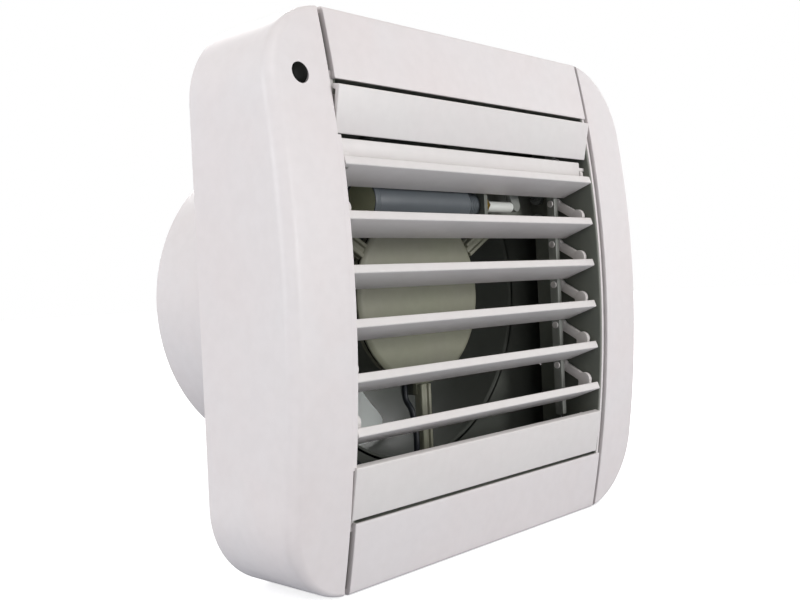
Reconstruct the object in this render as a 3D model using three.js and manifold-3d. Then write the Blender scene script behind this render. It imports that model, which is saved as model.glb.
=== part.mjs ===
// Wall or window exhaust fan with an automatic louvre shutter, for a round 120 mm duct.
// Millimetres. The origin is on the duct's axis in the plane of the wall. The front faces -Y,
// the duct spigot points along +Y, and +Z is up. The six turning blades are drawn open,
// and the slats above and below them are fixed shut.
import * as THREE from 'three';
import { mergeVertices } from 'three/addons/utils/BufferGeometryUtils.js';
import Module from 'manifold-3d';

const wasm = await Module();
wasm.setup();
const { Manifold, Mesh: ManifoldMesh } = wasm;

// ---------------------------------------------------------------- driving dimensions
const fitGap = 0.3;              // gap between pieces that sit on or in each other
const runGap = 0.3;              // gap round a pin that turns

// casing
const faceWidth = 180;
const faceHeight = 171;
const cheekWidth = 24;            // from the casing's side to the louvre frame
const panelHeight = 21.6;        // upper and lower panel, from the edge to the louvres' opening
const sideDepth = 31.8;          // wall plane to the front's upper and lower edges
const bulge = 9.5;               // how far the front's middle stands before those edges
const cornerRadius = 26;
const sideEdgeRadius = 4;        // rounding between the front and the two sides
const topEdgeRadius = 1.2;       // rounding between the front and the top and bottom
const coverWall = 2.2;
const cheekReturnDepth = 12;     // depth of the cheek's inner wall beside the groove
const cheekReturnWall = 1.6;

// louvre frame
const frameWidth = faceWidth - 2 * cheekWidth;
const grooveWidth = 1.2;         // groove between the frame and each cheek
const openingHeight = faceHeight - 2 * panelHeight;
const panelWall = 2.4;
const railWall = 2.6;
const railDrop = 0.8;            // how far the rails' rims sit behind the cheeks
const railRearY = -12;
const panelReturnRearY = -28.2;  // rear edge of the walls above and below the louvres
const panelSeam = 0.5;           // seam between the frame's end and the cover's top wall
const panelLip = 3;              // depth of the cover's notch that takes the frame's ends

// louvre slats, given for the closed shutter: the first and last are fixed, the others turn
const slatCount = 8;
const topSlatGap = 2.25;         // from the opening's upper edge to the first slat
const slatMargin = 3.24;         // height of the opening that the slats' pitches leave over
const slatGap = 1.72;            // from one slat's lower edge to the next, along the face
const bladePitch = (openingHeight - slatMargin) / slatCount;
const bladeFace = bladePitch - slatGap;   // height of the blade's flat face
const bladeWall = 1.5;
const bladeLip = 2.7;            // depth of the flange along the blade's upper edge
const bladeTilt = 11;            // degrees that the closed face leans, bottom edge inward
const bladeTopY = -39.33;        // upper edge of the closed face
const firstBladeTopZ = openingHeight / 2 - topSlatGap;
const bladeEndGap = 0.7;         // from the blade's end to the rail
const pivotAlongFace = 4.6;      // pivot, measured down the face from its upper edge
const pivotBehindFace = 5.3;
const pivotPinRadius = 1.5;
const pivotPinLength = 2.4;
const earWall = 1.7;
const earTip = 2.6;              // radius of a blade's ear round its pivot
const tenonHalf = 1.5;           // half the side of a fixed slat's square tenon
const louvreTravel = 59;         // degrees from open to closed
const stopBarWall = 1.3;         // fixed bar behind the first blade's upper edge
const stopBarHeight = 5.1;
const stopBarBehind = 2.5;       // bar's front before the first blade's pivot
const stopBarTop = 4.5;          // bar's top above that pivot
const stopBarTongue = 1.2;       // height of the tongues that carry its ends

// louvre linkage
const crankRadius = 11;
const crankPinRadius = 1.3;
const crankBossRadius = 2.2;
const crankArmHalf = 1.6;
const tieBarWall = 2.4;
const tieBarHalf = 1.8;
const tieBarEarGap = 0.8;
const tieBarEnd = 3.6;           // bar above its first hole
const tieBarTail = 19.2;         // bar below its last hole, down to the spring
const lugWall = 1.8;
const lugLength = 9.2;
const lugHalf = 3;
const bellArm = 15;              // from the bell crank's pivot to its pin in the bar's lug
const plungerArm = 10;           // from the bell crank's pivot to the plunger's axis
const bellWall = 2.3;
const bellPivotX = frameWidth / 2 - 28;
const bellRearY = -17.3;
const bellHubRadius = 4.2;
const bellPinRadius = 1.5;
const bellArmHalf = 3;           // half widths of the arms, at the pivot and at the pin
const bellEndHalf = 2.6;
const bellTipHalf = 2.2;         // half width of the arm where the plunger pushes it
const pivotShoulderRadius = 2;
const lugPinOverlap = 1;         // pin left past the lug when the bar is furthest forward

// return spring
const springRadius = 1.5;
const springWire = 0.3;          // radius of its wire
const springTurns = 6;
const springTail = 2.4;          // depth of the bores that take its ends
const springGap = 0.35;
const springAnchorZ = -openingHeight / 2 - 0.3;
const springAnchorHalf = 2;

// shutter actuator
const actuatorY = -18.8;
const actuatorDrop = 3 * bladePitch - 13.81;   // from the opening's upper edge to the actuator
const actuatorZ = openingHeight / 2 - actuatorDrop;
const actuatorRadius = 6.8;
const actuatorLength = 45;
const actuatorRightX = frameWidth / 2 - 59;
const actuatorLeftX = actuatorRightX - actuatorLength;
const capRadius = 7.2;
const capLength = 2.6;
const capRim = 1.1;              // width of the rim round the cap's dished end
const capDish = 0.9;
const noseRadius = 4.5;
const noseLength = 12;
const noseNutWall = 1.8;
const noseNutRadius = 6.4;
const plungerRadius = 2;
const bracketWall = 1.8;
const bracketRearY = -9.9;
const bracketHalf = 6.4;         // half height of the bracket's back plate
const cradleX = actuatorLeftX + 25;
const cradleWidth = 4;
const cradleLip = 1.6;           // cradle beyond the bracket's back plate, above and below
const bellEarHalf = 5;           // the bracket's ear that carries the bell crank
const bellBossRadius = 3.4;
const bellScrewRadius = 1.2;
const uprightX = actuatorRightX + 7.6;
const footFrontY = -19.4;
const footWall = 1.6;
const bracketScrewStep = 4.6;    // the bracket's screws above and below the actuator's axis
const railBossRadius = 3;
const railBossDepth = 3.6;

// back plate and duct
const plateWall = 2.5;
const plateRim = 12;             // height of the rim that the cover fits over
const plateRimWall = 1.8;
const ductRadius = 59.6;         // outside, for a 120 mm duct
const ductWall = 2.2;
const ductLength = 70.2;
const blindFloor = 0.7;          // plate left behind a screw's hole
const wallHoleRadius = 2.3;
const wallHoleX = faceWidth / 2 - 12;
const wallHoleZ = faceHeight / 2 - 55.5;
const hookWidth = 12;
const hookReach = 1.3;
const hookDepth = 2;
const hookSideGap = 0.8;         // between the hook and the ends of its slot
const hookY = -7;
const hookZ = faceHeight / 2 - 33.5;

// motor support and motor
const supportRadius = 31.5;
const supportWall = 1.8;
const supportFrontY = -5.1;
const supportRearY = 19;
const supportFloorWall = 2;
const motorCoverFrontY = -7.1;
const motorCoverWall = 1.7;
const strutWidth = 6;
const strutFrontY = -7.5;
const strutRearY = -3.5;
const strutWall = 1.5;
const strutGusset = 8;           // height of the strut's root on the ring
const supportScrewCircle = 66.5; // radius of the circle through the three support screws
const supportFootRadius = 5.5;
const strutAngles = [30, 150, 270];
const statorHalf = supportRadius - 14.5;
const statorTop = supportRadius - 17.5;
const statorBottom = 7.5 - supportRadius;
const statorFrontY = 1.5;
const statorDepth = 11;
const windowHalf = 10;           // the stator's window for the winding
const legHalf = 3;               // half height of the leg below it
const boreWall = 1.6;            // iron between the window and the rotor's bore
const coilX = 7.8;               // half length of the winding
const coilGap = 0.4;
const windingWall = 2.2;
const bobbinWall = 0.8;
const bobbinFlange = 1.2;
const rotorRadius = supportRadius - 21.5;
const airGap = 0.5;
const shaftRadius = 1.5;
const shaftFrontY = -2.6;
const shaftRearY = 46.5;
const bracketPlate = 1.2;        // wall of the bearing brackets
const bushRadius = 4;
const bushLength = 3.6;
const motorScrewX = statorHalf - 3.5;
const motorScrewZ = statorTop - 4;
const motorScrewRadius = 1.3;
const motorBossRadius = 3.2;

// impeller
const hubRadius = 22.5;
const hubFrontY = 21;
const hubDepth = 22;
const hubWall = 1.8;
const hubBossRadius = 5;
const hubBossDrop = 3;           // the boss ends this far inside the hub
const nutRadius = 3.6;
const nutHeight = 3;
const tipGap = 1.8;              // from the blades' tips to the duct
const impellerTipRadius = ductRadius - ductWall - tipGap;
const impellerBlades = 6;
const impellerStart = 24.5;      // degrees from +X up to the first blade's root
const impellerChordRoot = 24;
const impellerChordTip = 36;
const impellerBladeWall = 1.7;
const impellerPitchRoot = 46;    // degrees
const impellerPitchTip = 26;
const impellerSweep = 16;        // degrees that the tip leads the root
const impellerCamber = 3.2;

// terminal block, cable inlet, control board and pilot lamp
const terminalX = 24.5 - faceWidth / 2;
const terminalZ = 17.5 - faceHeight / 2;
const terminalLength = 27;
const terminalWidth = 13;
const terminalHeight = 8.8;
const terminalPoles = 3;
const clampRadius = 1.8;
const wireWayHalf = 2.4;         // half width of the openings for the wires
const inletX = 15 - faceWidth / 2;
const inletZ = 32.5 - faceHeight / 2;
const inletRadius = 6;
const grommetFlange = 1.6;       // thickness and reach of the grommet's flange
const grommetBore = 3.4;
const boardX = 19 - faceWidth / 2;
const boardWidth = 26;
const boardTopZ = faceHeight / 2 - 15.5;
const boardBottomZ = supportScrewCircle * Math.sin(Math.PI / 6) + supportFootRadius + 1.25;
const boardHeight = boardTopZ - boardBottomZ;
const boardZ = (boardTopZ + boardBottomZ) / 2;
const boardCorner = 5;           // cut off the corner that lies in the casing's corner
const boardWall = 1.6;
const boardRearY = -9;
const boardScrewRadius = 1.2;
const boardPostRadius = 3;
const lampX = 11.7 - faceWidth / 2;
const lampZ = faceHeight / 2 - 21.6;
const lampRadius = 3.15;
const lensProud = 0.2;
const lensLength = 11;
const ledLength = 6;
const ledPinX = 1.25;
const ledPinHalf = 0.38;
const leadRadius = 1.1;
const leadNotchX = 4.8;          // where the motor's lead runs beside the strut and through the ring
const leadNotchY = -1;

// screws
const screwRadius = 1.4;
const screwHeadRadius = 2.8;
const screwHeadHeight = 1.8;
const screwSlotHalf = 0.4;
const frameScrewX = frameWidth / 2 - 10;
const frameScrewZ = faceHeight / 2 - 11.5;
const frameBossRadius = 3.4;
const frameBossRearY = -24;
const tabWall = 2.2;             // the cover's tabs behind the frame's bosses
const tabHalf = 5.5;
const tabReach = 6;              // from the screw to the tab's free edge

// facets round the large turned shapes
const roundSides = 48;
const hubSides = 30;

// ---------------------------------------------------------------- values that follow
const rad = Math.PI / 180;
const bladeCount = slatCount - 2;
const ordered = (a, b) => (a < b ? [a, b] : [b, a]);
const halfWidth = faceWidth / 2;
const halfHeight = faceHeight / 2;
const bulgeRadius = (halfHeight ** 2 + bulge ** 2) / (2 * bulge);
const bulgeCentreY = bulgeRadius - sideDepth - bulge;
const frameHalf = frameWidth / 2;
const openingHalf = openingHeight / 2;
const railInnerX = frameHalf - railWall;
const bladeHalf = railInnerX - bladeEndGap;
const earInnerX = bladeHalf - earWall;
const ductBore = ductRadius - ductWall;

// y of the bulged front at a height z, for a surface that lies skin behind it
function frontY(z, skin = 0) {
  return bulgeCentreY - Math.sqrt((bulgeRadius - skin) ** 2 - z * z);
}

// ---------------------------------------------------------------- solids
function solid(geometry) {
  const bare = geometry.clone();
  bare.deleteAttribute('normal');
  bare.deleteAttribute('uv');
  const merged = mergeVertices(bare, 1e-4);
  return new Manifold(new ManifoldMesh({
    numProp: 3,
    vertProperties: new Float32Array(merged.attributes.position.array),
    triVerts: new Uint32Array(merged.index.array),
  }));
}

function join(first, ...others) {
  return others.reduce((sum, other) => sum.add(other), first);
}

function cut(first, ...others) {
  return others.reduce((rest, other) => rest.subtract(other), first);
}

function block(x0, x1, y0, y1, z0, z1) {
  const box = new THREE.BoxGeometry(x1 - x0, y1 - y0, z1 - z0);
  return solid(box.translate((x0 + x1) / 2, (y0 + y1) / 2, (z0 + z1) / 2));
}

// A round bar along X, Y or Z from a to b, centred on the other two coordinates in order.
function rod(axis, radius, a, b, c1 = 0, c2 = 0, sides = 20) {
  const bar = new THREE.CylinderGeometry(radius, radius, b - a, sides);
  const middle = (a + b) / 2;
  if (axis === 'x') bar.rotateZ(Math.PI / 2).translate(middle, c1, c2);
  if (axis === 'y') bar.translate(c1, middle, c2);
  if (axis === 'z') bar.rotateX(Math.PI / 2).translate(c1, c2, middle);
  return solid(bar);
}

function pipe(axis, outer, inner, a, b, c1 = 0, c2 = 0, sides = 40) {
  return cut(rod(axis, outer, a, b, c1, c2, sides), rod(axis, inner, a - 1, b + 1, c1, c2, sides));
}

// An outline in the (x, z) plane, given a thickness from y = a to y = b.
function slabY(shape, a, b, curveSegments = 10) {
  const slab = new THREE.ExtrudeGeometry(shape, { depth: b - a, bevelEnabled: false, curveSegments });
  return solid(slab.rotateX(Math.PI / 2).translate(0, b, 0));
}

// An outline in the (y, z) plane, given a thickness from x = a to x = b.
function slabX(shape, a, b, curveSegments = 10) {
  const slab = new THREE.ExtrudeGeometry(shape, { depth: b - a, bevelEnabled: false, curveSegments });
  const turn = new THREE.Matrix4().makeBasis(
    new THREE.Vector3(0, 1, 0), new THREE.Vector3(0, 0, 1), new THREE.Vector3(1, 0, 0));
  return solid(slab.applyMatrix4(turn).translate(a, 0, 0));
}

function polygon(points) {
  return new THREE.Shape(points.map(([u, v]) => new THREE.Vector2(u, v)));
}

// A bar with round ends between two points of a plane.
function linkShape(ax, az, ar, bx, bz, br) {
  const heading = Math.atan2(bz - az, bx - ax);
  const shape = new THREE.Shape();
  shape.absarc(bx, bz, br, heading - Math.PI / 2, heading + Math.PI / 2, false);
  shape.absarc(ax, az, ar, heading + Math.PI / 2, heading + 1.5 * Math.PI, false);
  return shape;
}

function roundedRectangle(hx, hz, r) {
  const shape = new THREE.Shape();
  shape.absarc(hx - r, hz - r, r, 0, Math.PI / 2, false);
  shape.absarc(r - hx, hz - r, r, Math.PI / 2, Math.PI, false);
  shape.absarc(r - hx, r - hz, r, Math.PI, 1.5 * Math.PI, false);
  shape.absarc(hx - r, r - hz, r, 1.5 * Math.PI, 2 * Math.PI, false);
  return shape;
}

// A tube of radius r along a smooth curve through the given points.
function tubeAlong(points, radius, sides, steps) {
  const section = new THREE.Shape();
  section.absarc(0, 0, radius, 0, 2 * Math.PI, false);
  const ring = new THREE.Shape(section.getPoints(sides).slice(0, sides));
  const path = new THREE.CatmullRomCurve3(points.map((p) => new THREE.Vector3(...p)));
  return solid(new THREE.ExtrudeGeometry(ring, { steps, extrudePath: path, curveSegments: sides }));
}

// Right half of the casing's outline from top to bottom: each entry is a point and its normal.
function casingHalfOutline() {
  const points = [];
  const cornerSteps = 5;
  const sideSteps = 6;
  const cx = halfWidth - cornerRadius;
  const cz = halfHeight - cornerRadius;
  for (let i = 0; i <= cornerSteps; i += 1) {
    const a = (90 - (90 * i) / cornerSteps) * rad;
    const [nx, nz] = [Math.cos(a), Math.sin(a)];
    points.push([cx + cornerRadius * nx, cz + cornerRadius * nz, nx, nz]);
  }
  for (let i = 1; i < sideSteps; i += 1) points.push([halfWidth, cz - (2 * cz * i) / sideSteps, 1, 0]);
  for (let i = 0; i <= cornerSteps; i += 1) {
    const a = ((-90 * i) / cornerSteps) * rad;
    const [nx, nz] = [Math.cos(a), Math.sin(a)];
    points.push([cx + cornerRadius * nx, -cz + cornerRadius * nz, nx, nz]);
  }
  return points;
}

// The casing's filled volume, drawn in by inset all round and lying skin behind the front.
// The rounding of the front's edge grows from the top and bottom to the sides.
function casingVolume(inset, skin, rearY) {
  const half = casingHalfOutline();
  const edgeSteps = 3;
  const rings = [];
  const edgeOf = (nx, nz) => Math.max(sideEdgeRadius * nx ** 2 + topEdgeRadius * nz ** 2 - inset, 0.2);
  for (let k = -1; k <= edgeSteps; k += 1) {
    const turn = (Math.max(k, 0) / edgeSteps) * 90 * rad;
    const ring = half.map(([x, z, nx, nz]) => {
      const edge = edgeOf(nx, nz);
      const back = inset + edge * (1 - Math.cos(turn));
      const zIn = z - nz * back;
      const y = k < 0 ? rearY : frontY(zIn, skin) + edge * (1 - Math.sin(turn));
      return [x - nx * back, y, zIn];
    });
    const mirrored = ring.map(([x, y, z]) => [-x, y, z]).reverse();
    rings.push([...ring, ...mirrored]);
  }
  const count = rings[0].length;
  const positions = rings.flat(2);
  const index = [];
  for (let k = 0; k < rings.length - 1; k += 1) {
    for (let i = 0; i < count; i += 1) {
      const [a, b] = [k * count + i, k * count + ((i + 1) % count)];
      index.push(a, a + count, b, b, a + count, b + count);
    }
  }
  const front = (rings.length - 1) * count;
  for (let i = 0; i < count / 2 - 1; i += 1) {
    const [r0, r1, l0, l1] = [i, i + 1, count - 1 - i, count - 2 - i];
    index.push(front + r0, front + l0, front + r1, front + r1, front + l0, front + l1);
    index.push(r0, r1, l0, r1, l1, l0);
  }
  const geometry = new THREE.BufferGeometry();
  geometry.setAttribute('position', new THREE.Float32BufferAttribute(positions, 3));
  geometry.setIndex(index);
  return solid(geometry);
}

// ---------------------------------------------------------------- materials and nodes
function finish(color, roughness, metalness = 0) {
  return new THREE.MeshStandardMaterial({ color, roughness, metalness });
}

const casingPlastic = finish('#e3dfde', 0.45);
const louvrePlastic = finish('#e4e1e0', 0.42);
const innerPlastic = finish('#6a6c68', 0.5);
const supportPlastic = finish('#8e8d80', 0.55);
const impellerPlastic = finish('#e6e6e2', 0.45);
const linkPlastic = finish('#8f918d', 0.4);
const zincSteel = finish('#b9bbbd', 0.35, 0.9);
const laminatedSteel = finish('#5d6064', 0.5, 0.8);
const rotorAluminium = finish('#a8abaf', 0.4, 0.9);
const bronze = finish('#8a6a3c', 0.4, 0.9);
const copper = finish('#a5552c', 0.35, 0.8);
const bobbinPlastic = finish('#e9e4d2', 0.5);
const actuatorPlastic = finish('#7c828a', 0.35);
const brightPlastic = finish('#e8eae6', 0.35);
const brass = finish('#b49548', 0.35, 0.9);
const blackGloss = finish('#0c0d0c', 0.12);
const rubber = finish('#2a2a2b', 0.8);
const boardGreen = finish('#2c6b45', 0.5);
const terminalPlastic = finish('#cfd2d4', 0.5);
const wireBrown = finish('#5b3422', 0.5);
const wireBlue = finish('#2f5f9c', 0.5);
const springSteel = finish('#9a9da1', 0.3, 0.95);

const fan = new THREE.Group();
const flatness = 0.001;          // points closer than this to a straight edge are left out

function node(name, shape, material) {
  const mesh = shape.asOriginal().simplify(flatness).getMesh();
  const geometry = new THREE.BufferGeometry();
  geometry.setAttribute('position', new THREE.Float32BufferAttribute(mesh.vertProperties, 3));
  geometry.setIndex(new THREE.Uint32BufferAttribute(mesh.triVerts, 1));
  geometry.computeVertexNormals();
  const part = new THREE.Mesh(geometry, material);
  part.name = name;
  fan.add(part);
  return part;
}

// A slotted pan-head screw along X or Y: its head starts at seat and its point lies at tip.
function screw(axis, seat, tip, c1, c2, radius = screwRadius, headRadius = screwHeadRadius) {
  const away = Math.sign(seat - tip);
  const top = seat + away * screwHeadHeight;
  const [low, high] = seat < top ? [seat, top] : [top, seat];
  const [from, to] = tip < seat ? [tip, seat + away * 0.5] : [seat + away * 0.5, tip];
  const head = rod(axis, headRadius, low, high, c1, c2, 12);
  const slotDepth = screwHeadHeight * 0.45;
  const [s0, s1] = away > 0 ? [top - slotDepth, top + 1] : [top - 1, top + slotDepth];
  const reach = headRadius + 1;
  const slot = axis === 'x'
    ? block(s0, s1, c1 - reach, c1 + reach, c2 - screwSlotHalf, c2 + screwSlotHalf)
    : block(c1 - reach, c1 + reach, s0, s1, c2 - screwSlotHalf, c2 + screwSlotHalf);
  const shank = rod(axis, radius, from, to, c1, c2, 8);
  return cut(join(head, shank), slot);
}

// ---------------------------------------------------------------- casing cover
const cheekInnerX = frameHalf + grooveWidth;
const tabFrontY = frameBossRearY + fitGap;

function frontCover() {
  const outer = casingVolume(0, 0, 0);
  const cavity = casingVolume(coverWall, coverWall, 1);
  const notchRearY = -sideDepth + panelLip + panelSeam;
  const far = faceHeight;
  let cover = cut(outer, cavity, block(-cheekInnerX, cheekInnerX, -far, notchRearY, -far, far));
  for (const side of [-1, 1]) {
    const [x0, x1] = ordered(side * cheekInnerX, side * (cheekInnerX + cheekReturnWall));
    const strip = block(x0, x1, -far, -sideDepth + cheekReturnDepth - bulge / 2, -far, far);
    cover = join(cover, strip.intersect(outer));
    for (const end of [-1, 1]) {
      const hookX = side * (halfWidth - coverWall);
      const reachX = side * (halfWidth - coverWall - hookReach);
      const [h0, h1] = ordered(reachX, hookX + side * 0.5);
      const z = end * hookZ;
      const hook = block(h0, h1, hookY, hookY + hookDepth, z - hookWidth / 2, z + hookWidth / 2);
      const [z0, z1] = ordered(end * (frameScrewZ - tabReach), end * (halfHeight - coverWall + 0.5));
      const x = side * frameScrewX;
      const tab = block(x - tabHalf, x + tabHalf, tabFrontY, tabFrontY + tabWall, z0, z1);
      const hole = rod('y', screwRadius + fitGap, tabFrontY - 1, tabFrontY + tabWall + 1,
        x, end * frameScrewZ, 8);
      cover = join(cover, hook, cut(tab, hole));
    }
  }
  const lampBoss = rod('y', lampRadius + coverWall, -far, frontY(lampZ) + 7, lampX, lampZ, 20)
    .intersect(outer);
  const lampHole = rod('y', lampRadius + fitGap, -far, 0, lampX, lampZ, 20);
  return cut(join(cover, lampBoss), lampHole);
}

node('front_cover', frontCover(), casingPlastic);

// ---------------------------------------------------------------- louvre frame
const pivotDown = Math.cos(bladeTilt * rad);
const pivotBack = Math.sin(bladeTilt * rad);
const pivotY = bladeTopY + pivotAlongFace * pivotBack + pivotBehindFace * pivotDown;
const pivotDropZ = pivotAlongFace * pivotDown - pivotBehindFace * pivotBack;
const pivotZ = (i) => firstBladeTopZ - i * bladePitch - pivotDropZ;

const stopBarY = pivotY - stopBarBehind;
const stopBarTopZ = pivotZ(1) + stopBarTop;

// The crank swings equally above and below the level, so the bar moves almost straight.
const openCrankAngle = (louvreTravel / 2) * rad;
const crankY = crankRadius * Math.cos(openCrankAngle);
const crankZ = crankRadius * Math.sin(openCrankAngle);
const tieBarX1 = earInnerX - tieBarEarGap;
const tieBarX0 = tieBarX1 - tieBarWall;
const tieBarY = pivotY + crankY;
const tieBarBottomZ = pivotZ(bladeCount) + crankZ - tieBarTail;
const tieBarTopZ = pivotZ(1) + crankZ + tieBarEnd;

const bracketScrewY = (footFrontY + railRearY) / 2;
const bracketScrewZ = [actuatorZ - bracketScrewStep, actuatorZ + bracketScrewStep];
const springX = (tieBarX0 + tieBarX1) / 2;

function louvreFrame() {
  const far = faceHeight;
  const outer = casingVolume(0, 0, 0);
  const behind = casingVolume(-5, panelWall, 40);
  const slab = block(-frameHalf, frameHalf, -far, -sideDepth + panelLip, -far, far);
  let frame = cut(outer.intersect(slab), behind);
  frame = cut(frame, block(-railInnerX, railInnerX, -far, far, -openingHalf, openingHalf));
  const railFront = cut(casingVolume(0, railDrop, 0), block(-far, far, railRearY, far, -far, far));
  const frontTrim = cut(casingVolume(0, -1, 0), casingVolume(-5, railDrop, 40));
  const railHalfZ = openingHalf + panelWall;
  for (const side of [-1, 1]) {
    const [x0, x1] = ordered(side * railInnerX, side * frameHalf);
    const rail = block(x0, x1, -far, far, -railHalfZ, railHalfZ).intersect(railFront);
    frame = cut(frame, frontTrim.intersect(block(x0, x1, -far, far, -openingHalf, openingHalf)));
    frame = join(frame, rail);
    for (const end of [-1, 1]) {
      frame = join(frame, rod('y', frameBossRadius, frontY(frameScrewZ, panelWall) - 0.5, frameBossRearY,
        side * frameScrewX, end * frameScrewZ, 12));
    }
  }
  for (const end of [-1, 1]) {
    const [z0, z1] = ordered(end * openingHalf, end * railHalfZ);
    frame = join(frame, block(-railInnerX - 1, railInnerX + 1, frontY(openingHalf, 1),
      panelReturnRearY, z0, z1));
  }
  for (const z of bracketScrewZ) {
    frame = join(frame, rod('x', railBossRadius, frameHalf - 0.5, frameHalf + railBossDepth,
      bracketScrewY, z, 14));
  }
  const anchor = block(springX - springAnchorHalf, springX + springAnchorHalf,
    frontY(springAnchorZ, 1), tieBarY + springAnchorHalf, springAnchorZ - 3, springAnchorZ);
  frame = join(frame, anchor);
  const holes = [];
  for (let i = 1; i <= bladeCount; i += 1) {
    holes.push(rod('x', pivotPinRadius + runGap, -far, far, pivotY, pivotZ(i), 8));
  }
  const mortise = tenonHalf + fitGap;
  for (const i of [0, slatCount - 1]) {
    holes.push(block(-far, far, pivotY - mortise, pivotY + mortise,
      pivotZ(i) - mortise, pivotZ(i) + mortise));
  }
  for (const side of [-1, 1]) {
    for (const end of [-1, 1]) {
      const x = side * frameScrewX;
      holes.push(rod('y', screwRadius + fitGap, -sideDepth - 1, far, x, end * frameScrewZ, 8));
    }
  }
  for (const z of bracketScrewZ) {
    holes.push(rod('x', screwRadius + fitGap, railInnerX - 1, far, bracketScrewY, z, 12));
  }
  holes.push(rod('z', springWire + fitGap, springAnchorZ - springTail, springAnchorZ + 1,
    springX, tieBarY, 8));
  holes.push(block(-far, far, stopBarY - fitGap, stopBarY + stopBarWall + fitGap,
    stopBarTopZ - stopBarTongue - fitGap, stopBarTopZ + fitGap));
  return cut(frame, ...holes);
}

node('louvre_frame', louvreFrame(), casingPlastic);

// ---------------------------------------------------------------- louvre slats
// A slat's section in the (y, z) plane about its pivot, closed. A blade is then turned open.
function bladeProfile() {
  const down = [pivotBack, -pivotDown];
  const inward = [pivotDown, pivotBack];
  const at = (along, behind) => [
    down[0] * (along - pivotAlongFace) + inward[0] * (behind - pivotBehindFace),
    down[1] * (along - pivotAlongFace) + inward[1] * (behind - pivotBehindFace),
  ];
  return { at, outline: [at(0, 0), at(bladeFace, 0), at(bladeFace, bladeWall),
    at(bladeWall, bladeWall), at(bladeWall, bladeLip), at(0, bladeLip)].reverse() };
}

function turned([y, z], angle) {
  return [y * Math.cos(angle) - z * Math.sin(angle), y * Math.sin(angle) + z * Math.cos(angle)];
}

// The x ranges of a slat's ear and of the pin or tenon that runs from it into the rail.
function slatEnd(side) {
  const tip = bladeHalf + bladeEndGap + pivotPinLength;
  return { ear: ordered(side * earInnerX, side * bladeHalf),
    pin: ordered(side * (earInnerX + 0.2), side * tip) };
}

function louvreBlade() {
  const { at, outline } = bladeProfile();
  const open = louvreTravel * rad;
  const earCorners = [at(1, 0.3), at(9.5, 0.3), [earTip, -1], [0.5, earTip]];
  const web = polygon(earCorners.map((p) => turned(p, open)));
  let blade = slabX(polygon(outline.map((p) => turned(p, open))), -bladeHalf, bladeHalf);
  for (const side of [-1, 1]) {
    const { ear, pin } = slatEnd(side);
    blade = join(blade, slabX(web, ...ear), rod('x', earTip, ...ear, 0, 0, 10),
      rod('x', pivotPinRadius, ...pin, 0, 0, 8));
  }
  const arm = linkShape(0, 0, crankArmHalf, crankY, crankZ, crankArmHalf);
  const pin = rod('x', crankPinRadius, tieBarX0 - 0.5, bladeHalf - 0.2, crankY, crankZ, 8);
  const boss = rod('x', crankBossRadius, earInnerX, bladeHalf, crankY, crankZ, 10);
  return join(blade, slabX(arm, earInnerX, bladeHalf, 4), boss, pin);
}

// A slat that stays shut, with a square tenon at each end.
function fixedSlat() {
  const { at, outline } = bladeProfile();
  const web = polygon([at(1, 0.3), at(9.5, 0.3), [earTip, -earTip], [earTip, earTip]]);
  let slat = slabX(polygon(outline), -bladeHalf, bladeHalf);
  for (const side of [-1, 1]) {
    const { ear, pin } = slatEnd(side);
    const tenon = block(...pin, -tenonHalf, tenonHalf, -tenonHalf, tenonHalf);
    slat = join(slat, slabX(web, ...ear), tenon);
  }
  return slat;
}

// A fixed bar under the first slat, which closes the gap behind the first blade's upper edge.
// Its ends are cut back to tongues, clear of that blade's ears.
function stopBar() {
  const y1 = stopBarY + stopBarWall;
  const tip = bladeHalf + bladeEndGap + pivotPinLength;
  const reach = earInnerX - 0.7;
  return join(
    block(-reach, reach, stopBarY, y1, stopBarTopZ - stopBarHeight, stopBarTopZ),
    block(-tip, tip, stopBarY, y1, stopBarTopZ - stopBarTongue, stopBarTopZ));
}

node('stop_bar', stopBar(), louvrePlastic);

const slatSolid = fixedSlat();
node('fixed_slat_top', slatSolid, louvrePlastic).position.set(0, pivotY, pivotZ(0));
node('fixed_slat_bottom', slatSolid, louvrePlastic).position.set(0, pivotY, pivotZ(slatCount - 1));

const bladeSolid = louvreBlade();
for (let i = 1; i <= bladeCount; i += 1) {
  node(`louvre_blade_${i}`, bladeSolid, louvrePlastic).position.set(0, pivotY, pivotZ(i));
}

// ---------------------------------------------------------------- tie bar
const bellPivotZ = actuatorZ + plungerArm;
const bellOpenAngle = Math.asin(crankZ / bellArm);
const bellPinX = bellPivotX + bellArm * Math.cos(bellOpenAngle);
const bellPinZ = bellPivotZ + crankZ;
const slotHalf = bellPinRadius + runGap;
const lugY0 = tieBarY - lugWall / 2;

function tieBar() {
  const bar = join(
    block(tieBarX0, tieBarX1, tieBarY - tieBarHalf, tieBarY + tieBarHalf, tieBarBottomZ, tieBarTopZ),
    block(tieBarX0 - lugLength, tieBarX0 + 1, lugY0, lugY0 + lugWall,
      bellPinZ - lugHalf, bellPinZ + lugHalf));
  const slot = linkShape(bellPinX, bellPinZ, slotHalf, bellPivotX + bellArm, bellPinZ, slotHalf);
  const holes = [slabY(slot, lugY0 - 1, lugY0 + lugWall + 1, 6)];
  for (let i = 1; i <= bladeCount; i += 1) {
    holes.push(rod('x', crankPinRadius + runGap, tieBarX0 - 1, tieBarX1 + 1,
      tieBarY, pivotZ(i) + crankZ, 8));
  }
  const springHoleTopZ = tieBarBottomZ + springTail - 0.8;
  holes.push(rod('z', springWire + fitGap, tieBarBottomZ - 1, springHoleTopZ, springX, tieBarY, 8));
  return cut(bar, ...holes);
}

node('tie_bar', tieBar(), linkPlastic);

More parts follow.
